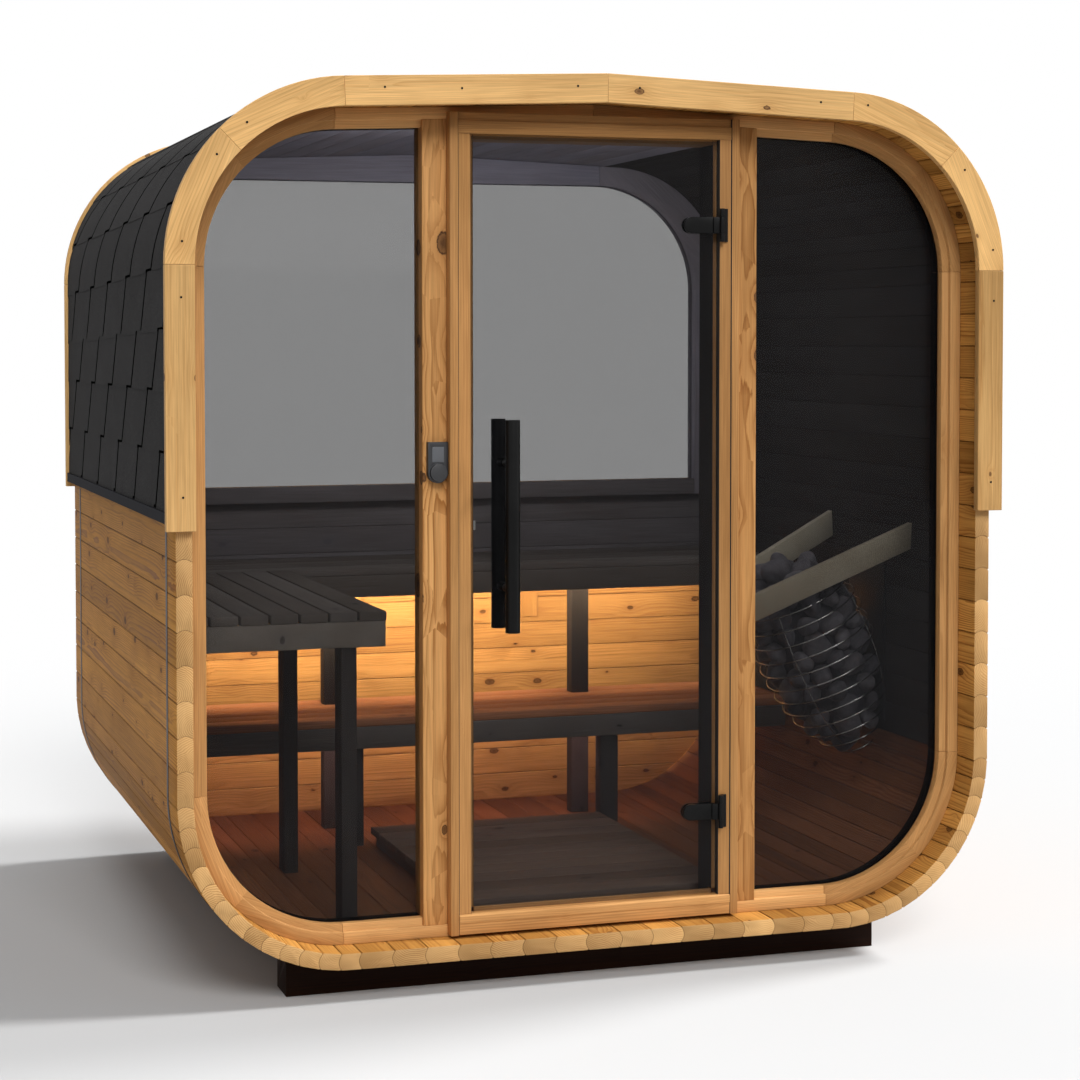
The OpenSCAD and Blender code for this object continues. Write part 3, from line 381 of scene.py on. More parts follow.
def light_diffuser():
    """Frosted cover of the light strip, lit warm from inside."""
    mat, tree, bsdf = new_material("light_diffuser")
    dots = noise_node(tree, object_place(tree), (60.0, 1.0, 1.0), 1.0)
    glow = ramp(tree, dots, (0.3, (1.0, 0.5, 0.16)), (0.7, (1.0, 0.58, 0.22)))
    feed(tree, bsdf, {"Base Color": glow, "Emission Color": glow, "Emission Strength": 6.0,
                      "Roughness": 0.4})
    return mat


PINE_END = (0.55, 0.34, 0.15)
PINE = timber("pine_staves", (0.54, 0.27, 0.07), (0.25, 0.092, 0.02),
              (0.045, 0.016, 0.006), tone=0.28, shine=0.03, ends=PINE_END, contrast=1.05,
              groove_shade=1.0)
REAR_PINE = timber("pine_rear_boards", (0.56, 0.31, 0.115), (0.3, 0.13, 0.042),
                   (0.06, 0.022, 0.01), tone=0.2, knot_mm=10.0, shine=0.03,
                   ends=PINE_END, contrast=0.8, groove_shade=1.0)
FASCIA = timber("pine_fascia", (0.75, 0.475, 0.205), (0.5, 0.25, 0.078),
                (0.085, 0.032, 0.014), tone=0.27, knots=1.3, knot_mm=7.0, ring_mm=4.5,
                ends=(0.7, 0.45, 0.2), contrast=0.65)
FRAME = timber("pine_frame", (0.7, 0.385, 0.15), (0.37, 0.16, 0.046),
               (0.055, 0.024, 0.012), tone=0.24, knots=1.1, knot_mm=16.0, ring_mm=4.5,
               contrast=1.1)
RING = timber("pine_ring", (0.66, 0.375, 0.155), (0.42, 0.195, 0.062),
              (0.07, 0.03, 0.014), tone=0.26, knots=0.5, ring_mm=4.0, contrast=0.6)
CASING = timber("pine_casing", (0.62, 0.335, 0.13), (0.38, 0.165, 0.05),
                (0.06, 0.025, 0.012), tone=0.34, knots=0.4, knot_mm=7.0, ring_mm=4.0,
                contrast=0.8)
CRADLE = timber("cradle_stain", (0.012, 0.0045, 0.0022), (0.006, 0.003, 0.002),
                (0.004, 0.002, 0.002), tone=0.1, knots=0.6, shine=0.05)
# Painted shade with a red cast of the glow: the room's floor is a darker, redder copy of the
# staves' pine.
FLOOR_SHADE_PAINT = timber("floor_painted_shade", (0.27, 0.115, 0.055), (0.14, 0.052, 0.025),
                     (0.05, 0.018, 0.01), tone=0.3, knots=0.6, relief=0.2, groove_shade=0.4)
GUARD = timber("guard_wood", (0.5, 0.47, 0.4), (0.36, 0.34, 0.28), (0.08, 0.07, 0.055),
               tone=0.1, knots=0.3, relief=0.2)
DARK_WOOD = stained("stained_bench", (0.165, 0.15, 0.145), (0.11, 0.099, 0.095),
                    (0.04, 0.035, 0.033), tone=0.18, knots=0.4)
# Painted light: a paler copy of the bench stain for the side bench's lit front.
LIT_SKIRT_WOOD = stained("skirt_painted_light", (0.27, 0.245, 0.225), (0.2, 0.18, 0.165),
                     (0.08, 0.07, 0.062))
# Painted shade: a darker copy of the bench stain for the legs.
SHADED_LEG_WOOD = stained("legs_painted_shade", (0.06, 0.052, 0.052), (0.04, 0.034, 0.034),
                   (0.02, 0.017, 0.017), shine=0.04)
# Painted glow: the lower slats are an orange copy of the bench stain, for the warm light that
# falls on them.
GLOW_LIT_BENCH_WOOD = stained("lower_bench_painted_glow", (0.46, 0.205, 0.105), (0.27, 0.11, 0.055),
                    (0.1, 0.043, 0.026), tone=0.16, knots=0.5, rough=0.7, shine=0.08,
                    contrast=0.8)
DUCK_STAIN = stained("duckboard_stain", (0.215, 0.162, 0.14), (0.14, 0.104, 0.088),
                     (0.05, 0.037, 0.03), tone=0.18, knots=0.4)
# Painted shade: near black on the room's walls and on the jambs' inner faces.
WALL_SHADE_PAINT = room_shade_paint("wall_painted_shade", (0.052, 0.049, 0.05), (0.046, 0.043, 0.044),
                        (0.038, 0.035, 0.036))
# Painted shade: grey on the rear wall's room face above the bench and on the rear window
# sill's room side.
REAR_SHADE_PAINT = room_shade_paint("rear_painted_shade", (0.225, 0.212, 0.235), (0.195, 0.184, 0.203),
                        (0.15, 0.14, 0.15))
# Painted shade: blue-grey on the ceiling and on the rear ring's room faces.
ROOF_SHADE_PAINT = room_shade_paint("roof_painted_shade", (0.4, 0.405, 0.53), (0.36, 0.364, 0.475),
                        (0.28, 0.28, 0.36), tone=0.05, knots=0.2, relief=0.03, contrast=0.3)
SHINGLE = granules()
FELT = coated_metal("roof_felt", (0.002, 0.002, 0.002), 0.9, shine=0.0)
BLACK_METAL = coated_metal("black_metal", (0.003, 0.003, 0.003), 0.34, shine=0.12)
STRAP = coated_metal("strap_steel", (0.035, 0.03, 0.032), 0.5, metallic=0.3)
DRIP = coated_metal("drip_coating", (0.01, 0.01, 0.013), 0.7, shine=0.03)
# Painted shade: black on the ring's faces inside the room, for the dark of the reveal behind
# the glass.
REVEAL_SHADE_BLACK = coated_metal("reveal_painted_shade", (0.002, 0.002, 0.002), 0.8, shine=0.02)
WIRE = coated_metal("heater_wire", (0.42, 0.41, 0.4), 0.22, metallic=1.0)
PLATE = coated_metal("heater_plate", (0.02, 0.02, 0.02), 0.5)
GLASS = smoked_glass()
STONE = stone()
BLACK_PLASTIC = moulded_plastic("black_plastic", (0.018, 0.018, 0.02), 0.4)
GREY_PLASTIC = moulded_plastic("display_plastic", (0.1, 0.105, 0.115), 0.25)
WHITE_PLASTIC = moulded_plastic("white_plastic", (0.62, 0.62, 0.6), 0.45)
DIFFUSER = light_diffuser()

# ---- modelling helpers

END_ON = 0.8
GROOVE_MIN, GROOVE_MAX, CONTACT_MAX = 0.0015, 0.0045, 0.012
ROOM_DEPTH = 0.0385


def activate(obj):
    """Makes the piece the active one and the only one selected."""
    bpy.ops.object.select_all(action="DESELECT")
    obj.select_set(True)
    bpy.context.view_layer.objects.active = obj
    return obj


def added(name):
    """Names the piece just made and returns it."""
    obj = bpy.context.object
    obj.name = name
    obj.data.name = name
    return obj


def apply_place(obj):
    activate(obj)
    bpy.ops.object.transform_apply(location=True, rotation=True, scale=True)
    return obj


def apply_modifiers(obj):
    activate(obj)
    for m in list(obj.modifiers):
        bpy.ops.object.modifier_apply(modifier=m.name)
    return obj


@contextmanager
def editing(obj):
    """Edit mode on one piece, with all of it selected at first."""
    activate(obj)
    bpy.ops.object.mode_set(mode="EDIT")
    bpy.ops.mesh.select_all(action="SELECT")
    yield bmesh.from_edit_mesh(obj.data)
    bpy.ops.object.mode_set(mode="OBJECT")


def pick_faces(obj, rule):
    """Selects the faces that the rule picks, and no others, in edit mode."""
    bpy.ops.mesh.select_all(action="DESELECT")
    mesh = bmesh.from_edit_mesh(obj.data)
    for f in mesh.faces:
        f.select_set(bool(rule(f)))
    bmesh.update_edit_mesh(obj.data)


def cut_away(place, normal):
    """Cuts the piece being edited by a plane and drops what lies beyond it."""
    bpy.ops.mesh.select_all(action="SELECT")
    bpy.ops.mesh.bisect(plane_co=place, plane_no=normal, use_fill=True, clear_outer=True)


def smoothed(obj, angle):
    """Shades smooth across edges flatter than the angle, in degrees."""
    activate(obj)
    bpy.ops.object.shade_smooth_by_angle(angle=math.radians(angle))
    return obj


def rounded(obj, width, segments=2):
    """Eases the piece's edges with a bevel and shades it smooth."""
    m = obj.modifiers.new("eased", "BEVEL")
    m.width = width
    m.segments = segments
    m.limit_method = "ANGLE"
    m.angle_limit = math.radians(35)
    m.use_clamp_overlap = True
    return smoothed(apply_modifiers(obj), 40)


def thickened(obj, thickness, offset):
    """Gives a sheet its thickness: offset 1 adds it outside and -1 inside."""
    m = obj.modifiers.new("thickness", "SOLIDIFY")
    m.thickness = thickness
    m.offset = offset
    return apply_modifiers(obj)


def block(name, size, centre, ease, segments=2):
    """A cuboid with eased edges."""
    bpy.ops.mesh.primitive_cube_add(size=1.0)
    obj = added(name)
    obj.scale = size
    obj.location = centre
    return rounded(apply_place(obj), ease, segments)


def linked(name, data):
    """A new object that shows the data in the scene."""
    obj = bpy.data.objects.new(name, data)
    bpy.context.scene.collection.objects.link(obj)
    return obj


def joined(pieces, name):
    """Joins the pieces into the first one."""
    activate(pieces[0])
    for p in pieces:
        p.select_set(True)
    bpy.ops.object.join()
    return added(name)


def islands(mesh):
    """Groups of vertex numbers that edges join."""
    parent = list(range(len(mesh.vertices)))

    def root(i):
        while parent[i] != i:
            parent[i] = parent[parent[i]]
            i = parent[i]
        return i

    for e in mesh.edges:
        a, b = root(e.vertices[0]), root(e.vertices[1])
        if a != b:
            parent[a] = b
    groups = {}
    for i in range(len(mesh.vertices)):
        groups.setdefault(root(i), []).append(i)
    return list(groups.values())


def coordinates(mesh):
    """The vertices' places, one row each."""
    co = np.zeros(len(mesh.vertices) * 3)
    mesh.vertices.foreach_get("co", co)
    return co.reshape(-1, 3)


def store(mesh, name, domain, values):
    """Keeps numbers or rows of three on the mesh, where the materials read them."""
    rows = np.array(values)
    kind, field = ("FLOAT_VECTOR", "vector") if rows.ndim == 2 else ("FLOAT", "value")
    mesh.attributes.new(name, kind, domain).data.foreach_set(field, rows.ravel())


def grain_frames(obj, along=None, shade_of=None):
    """Writes each board's own frame into 'grain' (across, along, depth from the pith) and a
    tone into 'board'. A board is what hangs together in the mesh. Along is the grain's
    direction, or the board's longest axis when left out. The tone is random about the value
    that shade_of gives for the board's centre."""
    mesh = obj.data
    co = coordinates(mesh)
    grain = np.zeros_like(co)
    tone = np.zeros(len(co))
    lengthwise = np.zeros_like(co)
    groups = sorted(islands(mesh), key=lambda g: tuple(np.round(co[g].mean(0), 3)))
    for group in groups:
        pts = co[group]
        centre = (pts.max(0) + pts.min(0)) / 2
        off = pts - centre
        if along is None:
            _, axes = np.linalg.eigh(off.T @ off)
            y = axes[:, 2]
        else:
            y = np.array(along, float)
        flat = off - np.outer(off @ y, y)
        _, axes = np.linalg.eigh(flat.T @ flat)
        x = axes[:, 2]
        z = np.cross(x, y)
        if z @ np.array([0.3, 0.5, 0.8]) < 0:
            z = -z
        pith = 0.02 + 0.07 * rng.random()
        grain[group, 0] = off @ x + rng.uniform(-0.03, 0.03)
        grain[group, 1] = off @ y + rng.uniform(-40, 40)
        grain[group, 2] = off @ z + pith * rng.choice((-1, 1))
        shade = rng.random()
        if shade_of:
            shade = min(1.0, max(0.0, shade_of(centre) + 0.3 * (shade - 0.5)))
        tone[group] = shade
        lengthwise[group] = y
    store(mesh, "grain", "POINT", grain)
    store(mesh, "board", "POINT", tone)
    store(mesh, "sawn_end", "FACE", [
        float(abs(f.normal @ Vector(lengthwise[f.vertices[0]])) > END_ON)
        for f in mesh.polygons])
    side_distances(mesh, co, lengthwise)


def side_distances(mesh, co, lengthwise):
    """Writes how far each corner of a groove's narrow face lies from the face's two long
    sides. The faces where two boards meet count as lying on a side."""
    sides = np.ones((len(mesh.loops), 3))
    for f in mesh.polygons:
        across = f.normal.cross(Vector(lengthwise[f.vertices[0]]))
        if across.length < 0.6:
            continue
        reach = co[list(f.vertices)] @ np.array(across.normalized())
        width = reach.max() - reach.min()
        if width < GROOVE_MIN or width > CONTACT_MAX:
            continue
        shown = width <= GROOVE_MAX
        sides[f.loop_start:f.loop_start + f.loop_total, 0] = (reach - reach.min()) * shown
        sides[f.loop_start:f.loop_start + f.loop_total, 1] = (reach.max() - reach) * shown
    store(mesh, "sides", "CORNER", sides)


def cut_corners(obj):
    """Parts the quarter rings of a wall frame at 45 degrees, where two boards meet."""
    with editing(obj):
        for side in (-1, 1):
            for z, up in ((STAVE_Z + BEND_R, -1), (SHOULDER_Z, 1)):
                middle = Vector((side * BEND_X, 0, z))

                def in_corner(f):
                    off = f.calc_center_median() - middle
                    return off.x * side > 0.002 and off.z * up > 0.002

                pick_faces(obj, in_corner)
                bpy.ops.mesh.bisect(plane_co=middle, plane_no=(-side * up, 0, 1))
                bpy.ops.mesh.edge_split(type="EDGE")


def merged_copy(node, name):
    """A copy of a CAD node with its loose triangles merged into whole faces."""
    obj = NODES[node].copy()
    obj.data = obj.data.copy()
    obj.name = name
    bpy.context.scene.collection.objects.link(obj)
    obj.location = (0, 0, 0)
    apply_place(obj)
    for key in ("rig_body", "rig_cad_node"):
        del obj[key]
    with editing(obj):
        bpy.ops.mesh.remove_doubles(threshold=0.00002)
        bpy.ops.mesh.dissolve_limited(angle_limit=math.radians(0.6))
    return obj


def shell_depth(x, z):
    """How far a point lies in from the outside of the staves."""
    out, low, high = abs(x) - BEND_X, z - STAVE_Z - BEND_R, z - SHOULDER_Z
    if low < 0:
        return BEND_R - math.hypot(out, low) if out > 0 else BEND_R + low
    if high < 0:
        return BEND_R - out
    if out > 0:
        return BEND_R - math.hypot(out, high)
    return BEND_R / math.cos(ROOF_FALL) - out * math.tan(ROOF_FALL) - high


def second_finish(obj, material, chosen):
    """Gives the faces that the rule picks, by centre and normal, a second finish."""
    obj.data.materials.append(material)
    for f in obj.data.polygons:
        if chosen(f.center, f.normal):
            f.material_index = 1


def room_side(c, _):
    """True on the faces of the shell that the room shows."""
    return shell_depth(c.x, c.z) > ROOM_DEPTH and abs(c.y) < ROOM_Y


def parted_at_walls(obj):
    """Scores the staves where the end walls stand, so that the room side is its own face."""
    with editing(obj):
        for y in (-ROOM_Y, ROOM_Y):
            bpy.ops.mesh.select_all(action="SELECT")
            bpy.ops.mesh.bisect(plane_co=(0, y, 0), plane_no=(0, 1, 0))


def painted(obj, material):
    """Gives a piece one finish in place of what it has."""
    obj.data.materials.clear()
    obj.data.materials.append(material)
    return obj


def finish_piece(obj, material, slot, node=None):
    """Paints a piece and hangs it on its body; the slot it is given is not used. It may stand
    for a node of the CAD, and then it rides where the node does."""
    apply_place(painted(obj, material))
    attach(obj, NODES[node]["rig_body"] if node else "shell")
    if node:
        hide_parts(node)


def boards(node, material, slot, ease, along=None, corners=False, room=None,
           shade_of=None):
    """The CAD node's boards with eased edges and their own grain. It stands for the node."""
    obj = merged_copy(node, node + "_dressed")
    if corners:
        cut_corners(obj)
    if room:
        parted_at_walls(obj)
    rounded(obj, ease)
    grain_frames(obj, along, shade_of)
    finish_piece(obj, material, slot, node)
    if room:
        second_finish(obj, room, room_side)
    return obj


# ---- path round the shell


def rise(start_z, s, out):
    """A point that climbs the right wall from start_z, goes round the shoulder and up the
    roof: s along the path, out from the staves. Returns its x and z."""
    stub = SHOULDER_Z - start_z
    if s <= stub:
        return HALF_W + out, start_z + s
    a = min((s - stub) / BEND_R, TURN)
    t = max(0.0, s - stub - TURN * BEND_R)
    c, n = math.cos(a), math.sin(a)
    return BEND_X + (BEND_R + out) * c - t * n, SHOULDER_Z + (BEND_R + out) * n + t * c


def rise_length(start_z):
    """Length of that path up to the ridge."""
    flat = (BEND_X + BEND_R * math.cos(TURN)) / math.cos(ROOF_FALL)
    return SHOULDER_Z - start_z + BEND_R * TURN + flat


def laid_on_shell(obj, start_z, side):
    """Bends a mesh drawn flat (x along the path, y front to back, z outwards) on to the
    shell. Side is 1 for the right and -1 for the left."""
    for v in obj.data.vertices:
        x, z = rise(start_z, v.co.x, v.co.z + UNDERLAY)
        v.co = (side * x, v.co.y, z)
    if side > 0:
        obj.data.flip_normals()


# ---- timber work

# how far the fascia faces are set in behind the screw heads
SCREW_PROUD = 0.0007
# height above which the rear wall's room face is painted shade
REAR_SHADE_Z = BENCH_Z - 0.045
JAMB_X = DOOR_HEAD.x + 0.02

# The staves' room side gets darker finishes that are painted shade: the room's floor, walls
# and ceiling.
for staves, stain in (("floor_staves", FLOOR_SHADE_PAINT), ("lower_corner_staves", FLOOR_SHADE_PAINT),
                      ("wall_staves_left", WALL_SHADE_PAINT), ("wall_staves_right", WALL_SHADE_PAINT),
                      ("upper_corner_staves", WALL_SHADE_PAINT), ("roof_staves_left", ROOF_SHADE_PAINT),
                      ("roof_staves_right", ROOF_SHADE_PAINT)):
    boards(staves, PINE, "pine_staves", 0.0007, LENGTHWISE, room=stain)
rear_boards = boards("rear_wall_boards", REAR_PINE, "pine_staves", 0.001, SIDEWAYS)
# Painted shade above the bench; below it, where the glow lamps light the wall, the boards keep
# their pine.
second_finish(rear_boards, REAR_SHADE_PAINT, lambda c, n: n.y < -0.3 and c.z > REAR_SHADE_Z)


def level_bright(centre):
    """The curved boards are the palest, then the top ones, and the upright ones are dark."""
    if centre[2] > SHOULDER_Z:
        return 0.9 if abs(centre[0]) > BEND_X - 0.1 else 0.65
    return 0.4 if centre[0] < 0 else 0.0


def sides_dark(centre):
    """Boards at the sides of a wall frame are darker than the ones above and below."""
    return 0.15 if abs(centre[0]) > BEND_X else 0.6


def left_bright(centre):
    """The left jamb with its casing is paler than the right one."""
    return 0.25 if centre[0] < 0 else 0.0


for fascia in ("fascia_front", "fascia_rear"):
    face = boards(fascia, FASCIA, "pine_fascia", 0.0015, shade_of=level_bright)
    for v in face.data.vertices:
        if abs(v.co.y) > FACE_Y - 0.0003:
            v.co.y *= (FACE_Y - SCREW_PROUD) / FACE_Y
ring = boards("front_wall_frame", RING, "pine_frame", 0.0012, corners=True,
              shade_of=sides_dark)
# Painted shade: the ring's faces behind the wall plane are black.
second_finish(ring, REVEAL_SHADE_BLACK, lambda c, n: abs(c.y) < ROOM_Y)
ring = boards("rear_wall_frame", RING, "pine_frame", 0.0012, shade_of=sides_dark)
# Painted shade: the rear ring's room faces take the ceiling's blue-grey.
second_finish(ring, ROOF_SHADE_PAINT, lambda c, n: n.y < 0.5)
boards("front_posts", FRAME, "pine_frame", 0.0015, UPRIGHT)
jambs = boards("door_jambs", CASING, "pine_frame", 0.0012, UPRIGHT, shade_of=left_bright)
# Painted shade: the jambs' inner faces behind the glass take the walls' dark paint.
second_finish(jambs, WALL_SHADE_PAINT, lambda c, n: n.x * c.x < -0.1 and abs(c.x) < JAMB_X)
# The head takes the darkest tone: painted shadow of the fascia above it.
boards("door_head", CASING, "pine_frame", 0.0012, SIDEWAYS, shade_of=lambda c: 0.0)
boards("door_sill", CASING, "pine_frame", 0.0012, SIDEWAYS, shade_of=lambda c: 0.4)
sill = boards("rear_window_sill", FRAME, "pine_frame", 0.0015, SIDEWAYS)
# the sill's room side gets the rear wall's painted shade
second_finish(sill, REAR_SHADE_PAINT, lambda c, n: c.y < ROOM_Y)
for part, wood, slot, ease, along in (
        ("cradle_front", CRADLE, "cradle_timber", 0.0025, SIDEWAYS),
        ("cradle_rear", CRADLE, "cradle_timber", 0.0025, SIDEWAYS),
        ("upper_bench_slats", DARK_WOOD, "dark_wood", 0.003, SIDEWAYS),
        # orange copy of the bench stain: painted glow
        ("lower_bench_slats", GLOW_LIT_BENCH_WOOD, "dark_wood", 0.003, SIDEWAYS),
        ("side_bench_slats", DARK_WOOD, "dark_wood", 0.003, LENGTHWISE),
        ("upper_bench_frame", DARK_WOOD, "dark_wood", 0.002, SIDEWAYS),
        ("lower_bench_frame", DARK_WOOD, "dark_wood", 0.002, SIDEWAYS),
        # paler copy of the bench stain: painted light on its front
        ("side_bench_frame", LIT_SKIRT_WOOD, "dark_wood", 0.002, LENGTHWISE),
        # darker copy of the bench stain: painted shade
        ("bench_legs", SHADED_LEG_WOOD, "dark_wood", 0.002, UPRIGHT),
        ("duckboard", DUCK_STAIN, "dark_wood", 0.0025, SIDEWAYS),
        ("heater_guard", GUARD, "guard_wood", 0.002, LENGTHWISE)):
    boards(part, wood, slot, ease, along)

VENT_SIZE = (0.069, 0.008, 0.091)
VENT_X, VENT_Z, VENT_PROUD = 0.3885, 0.7915, 0.0042


def wall_vent():
    """The sliding wooden cover of the air vent, low on the rear wall."""
    place = (VENT_X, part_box("rear_wall_boards")[0].y - VENT_PROUD, VENT_Z)
    cover = block("rear_wall_vent_cover", VENT_SIZE, place, 0.002)
    grain_frames(cover, UPRIGHT, lambda c: 0.1)
    finish_piece(cover, REAR_PINE, "pine_frame")


wall_vent()

# ---- roof shingles

EAVE_COURSE = 0.142
COURSES = 12
TAB_PITCH = 0.333
TAB_T = 0.0013
TAB_LIFT = 0.0016
SLIT_W = 0.016
TAB_GAP = 0.0004
# how far a tab leans and how far the next course shifts: eave course, other courses
SLANTS, JOGS = (0.06, 0.092), (0.064, 0.072)
FIRST_NOTCH, NOTCH_EDGE = 0.02, 0.004
FOOT = 0.009
LAP = 0.002
VERGE_GAP, RIDGE_GAP, FELT_GAP = 0.0006, 0.0025, 0.001
UNDERLAY = 0.015
FIRST_SLIT = 0.179
PATH_LEN = rise_length(EAVE_Z)
COURSE = (PATH_LEN - EAVE_COURSE) / COURSES


def shingle_tab(start, end, slit_y, slant, notch, lap, skew):
    """One tab drawn flat: a leaning strip from the slit at slit_y to the next, with a notch
    at its lower front corner where it meets the slit below."""
    rows = 9
    top = end + lap
    lines = [start] + [start + FOOT + (top - start - FOOT) * k / (rows - 1)
                       for k in range(rows)]
    cols = [0.0, notch, notch + NOTCH_EDGE, TAB_PITCH - SLIT_W]

    def in_notch(f):
        low = max(v.co.x + skew * (v.co.y - FRONT) for v in f.verts) < start + FOOT + 0.0005
        return low and max(v.co.y for v in f.verts) < slit_y + SLIT_W / 2 + notch + 0.001

    bpy.ops.mesh.primitive_grid_add(x_subdivisions=rows, y_subdivisions=3, size=1.0)
    tab = added("tab")
    with editing(tab) as mesh:
        for v in mesh.verts:
            s = lines[round((v.co.x + 0.5) * rows)]
            up = (s - start) / (end - start)
            y = slit_y + SLIT_W / 2 + cols[round((v.co.y + 0.5) * 3)] - up * slant
            v.co = (s - skew * (y - FRONT), y,
                    TAB_LIFT * (1.0 - (s - start) / (top - start)) + TAB_GAP)
        pick_faces(tab, in_notch)
        bpy.ops.mesh.delete(type="FACE")
    return thickened(tab, TAB_T, 1.0)


def roof_side(side, word, askew):
    """Courses of tabs up one wall and half the roof, each course shifted half a tab. The
    upper courses lie a little askew."""
    rng.seed(5 + side)
    tabs = []
    slit = FRONT + FIRST_SLIT - 3 * TAB_PITCH
    start, notch = 0.0, FIRST_NOTCH
    for k in range(COURSES + 1):
        end = start + (COURSE if k else EAVE_COURSE)
        slant, jog = SLANTS[k > 0], JOGS[k > 0]
        while slit - slant < FRONT - TAB_PITCH:
            slit += TAB_PITCH
        y = slit
        stop = min(end, PATH_LEN - RIDGE_GAP)
        while y < BACK + slant:
            skew = askew if 2 < k < COURSES else 0.0
            lap = LAP + 2 * askew * (k == COURSES - 1)
            tabs.append(shingle_tab(start, stop, y, slant, notch, lap, skew))
            y += TAB_PITCH
        start, notch = end, jog
        slit -= slant + jog
    sheet = joined(tabs, "shingle_tabs_" + word)
    with editing(sheet):
        cut_away((0, FRONT + VERGE_GAP, 0), (0, -1, 0))
        cut_away((0, BACK - VERGE_GAP, 0), (0, 1, 0))
        bpy.ops.mesh.select_all(action="SELECT")
        bpy.ops.mesh.normals_make_consistent(inside=False)
    grain_flat(sheet)
    slit_sides = [abs(f.normal.y) > 0.7 for f in sheet.data.polygons]
    laid_on_shell(sheet, EAVE_Z, side)
    smoothed(sheet, 30)
    finish_piece(sheet, SHINGLE, "shingles", "shingles_" + word)
    sheet.data.materials.append(FELT)
    for f, cut in zip(sheet.data.polygons, slit_sides):
        f.material_index = int(cut)

    bpy.ops.mesh.primitive_grid_add(x_subdivisions=64, y_subdivisions=1, size=1.0)
    felt = added("shingle_felt_" + word)
    for v in felt.data.vertices:
        v.co = ((v.co.x + 0.5) * (PATH_LEN - FELT_GAP),
                v.co.y * (BACK - FRONT - 2 * FELT_GAP), 0.0)
    laid_on_shell(thickened(felt, UNDERLAY - 0.0003, -1.0), EAVE_Z, side)
    finish_piece(felt, FELT, "shingles")


def grain_flat(obj):
    """Keeps the flat drawing's place in 'grain' and gives each tab its own tone."""
    mesh = obj.data
    tone = np.zeros(len(mesh.vertices))
    for group in islands(mesh):
        tone[group] = rng.random()
    store(mesh, "grain", "POINT", coordinates(mesh))
    store(mesh, "board", "POINT", tone)


roof_side(-1, "left", 0.018)
roof_side(1, "right", 0.0)
painted(NODES["drip_edges"], DRIP)
painted(NODES["steel_bands"], STRAP)

# ---- screws in the fascia

SCREW_R, SCREW_T, SCREW_RIM = 0.003, 0.003, 0.0008
SCREW_DEEP = 0.0016
DRIVE_INSETS, DRIVE_STEP = (0.0003, 0.0013), 0.00015
# from a board's end, on the curved boards and on the straight ones
SCREW_ENDS = (0.05, 0.09)
SCREW_IN = 0.01
STRAY_OUT, STRAY_ALONG = 0.006, 0.012


def screw(at, facing):
    """A countersunk screw head, sunk a little and with a cross drive."""
    bpy.ops.mesh.primitive_cylinder_add(vertices=16, radius=SCREW_R, depth=SCREW_T)
    head = added("screw")
    with editing(head):
        pick_faces(head, lambda f: f.normal.z > 0.9)
        bpy.ops.mesh.inset(thickness=SCREW_RIM)
        for inset in DRIVE_INSETS:
            bpy.ops.mesh.inset(thickness=inset)
            bpy.ops.transform.translate(value=(0, 0, -DRIVE_STEP))
    head.rotation_euler = (math.radians(90) * facing, rng.uniform(0, 1.5), 0)
    head.location = at
    return apply_place(head)


FRONT_SCREWS = ((-1.119, 1.79), (-1.117, 1.298), (-1.116, 1.927), (-1.028, 2.141),
                (-0.952, 2.221), (-0.599, 2.318), (-0.396, 2.321), (-0.083, 2.336),
                (0.088, 2.336), (0.606, 2.314), (0.745, 2.31),
                (1.038, 2.143), (1.126, 1.927), (1.13, 1.788), (1.125, 1.292))


def fascia_screws(end_name, y, facing):
    """Two screws near the ends of every fascia board. The front has its own places in
    their stead, but makes the same random draws."""
    bend_from = SHOULDER_Z - FASCIA_Z
    bend_to = bend_from + BEND_R * TURN
    joints = (0.0, bend_from, (bend_from + bend_to) / 2, bend_to, rise_length(FASCIA_Z))
    heads = []
    for a, b in zip(joints, joints[1:]):
        end = SCREW_ENDS[0] if a >= bend_from and b <= bend_to else SCREW_ENDS[1]
        for s in (a + end, b - end):
            for side in (-1, 1):
                out = rng.uniform(-STRAY_OUT, STRAY_OUT) - SCREW_IN
                x, z = rise(FASCIA_Z, s + rng.uniform(-STRAY_ALONG, STRAY_ALONG), out)
                if facing < 0:
                    heads.append(screw((side * x, y, z), facing))
    if facing > 0:
        heads = [screw((x, y, z), facing) for x, z in FRONT_SCREWS]
    finish_piece(smoothed(joined(heads, end_name), 35), BLACK_METAL, "black_metal")


fascia_screws("fascia_screws_front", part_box("fascia_front")[0].y + SCREW_DEEP, 1)
fascia_screws("fascia_screws_rear", FACE_Y - SCREW_DEEP, -1)

# ---- glass

for pane in ("glass_left", "glass_right", "rear_window", "door_glass"):
    finish_piece(merged_copy(pane, pane + "_pane"), GLASS, "smoked_glass", pane)

# ---- door furniture

for part, coat, slot, ease, segments in (
        ("door_handle", BLACK_METAL, "black_metal", 0.0015, 3),
        ("door_hinge_clamps", BLACK_METAL, "black_metal", 0.001, 2),
        ("door_hinge_plates", BLACK_METAL, "black_metal", 0.0007, 2),
        ("door_catch", WHITE_PLASTIC, "white_plastic", 0.001, 2),
        ("controller", BLACK_PLASTIC, "black_plastic", 0.0012, 2),
        ("controller_knob", BLACK_PLASTIC, "black_plastic", 0.0012, 2)):
    furniture = rounded(merged_copy(part, part + "_finished"), ease, segments)
    finish_piece(furniture, coat, slot, part)

DISPLAY_SIZE = (0.032, 0.0012, 0.04)
DISPLAY_DROP, DISPLAY_PROUD = 0.032, 0.0003
KNOB_RING_R, KNOB_RING_GAP = 0.0007, 0.0012


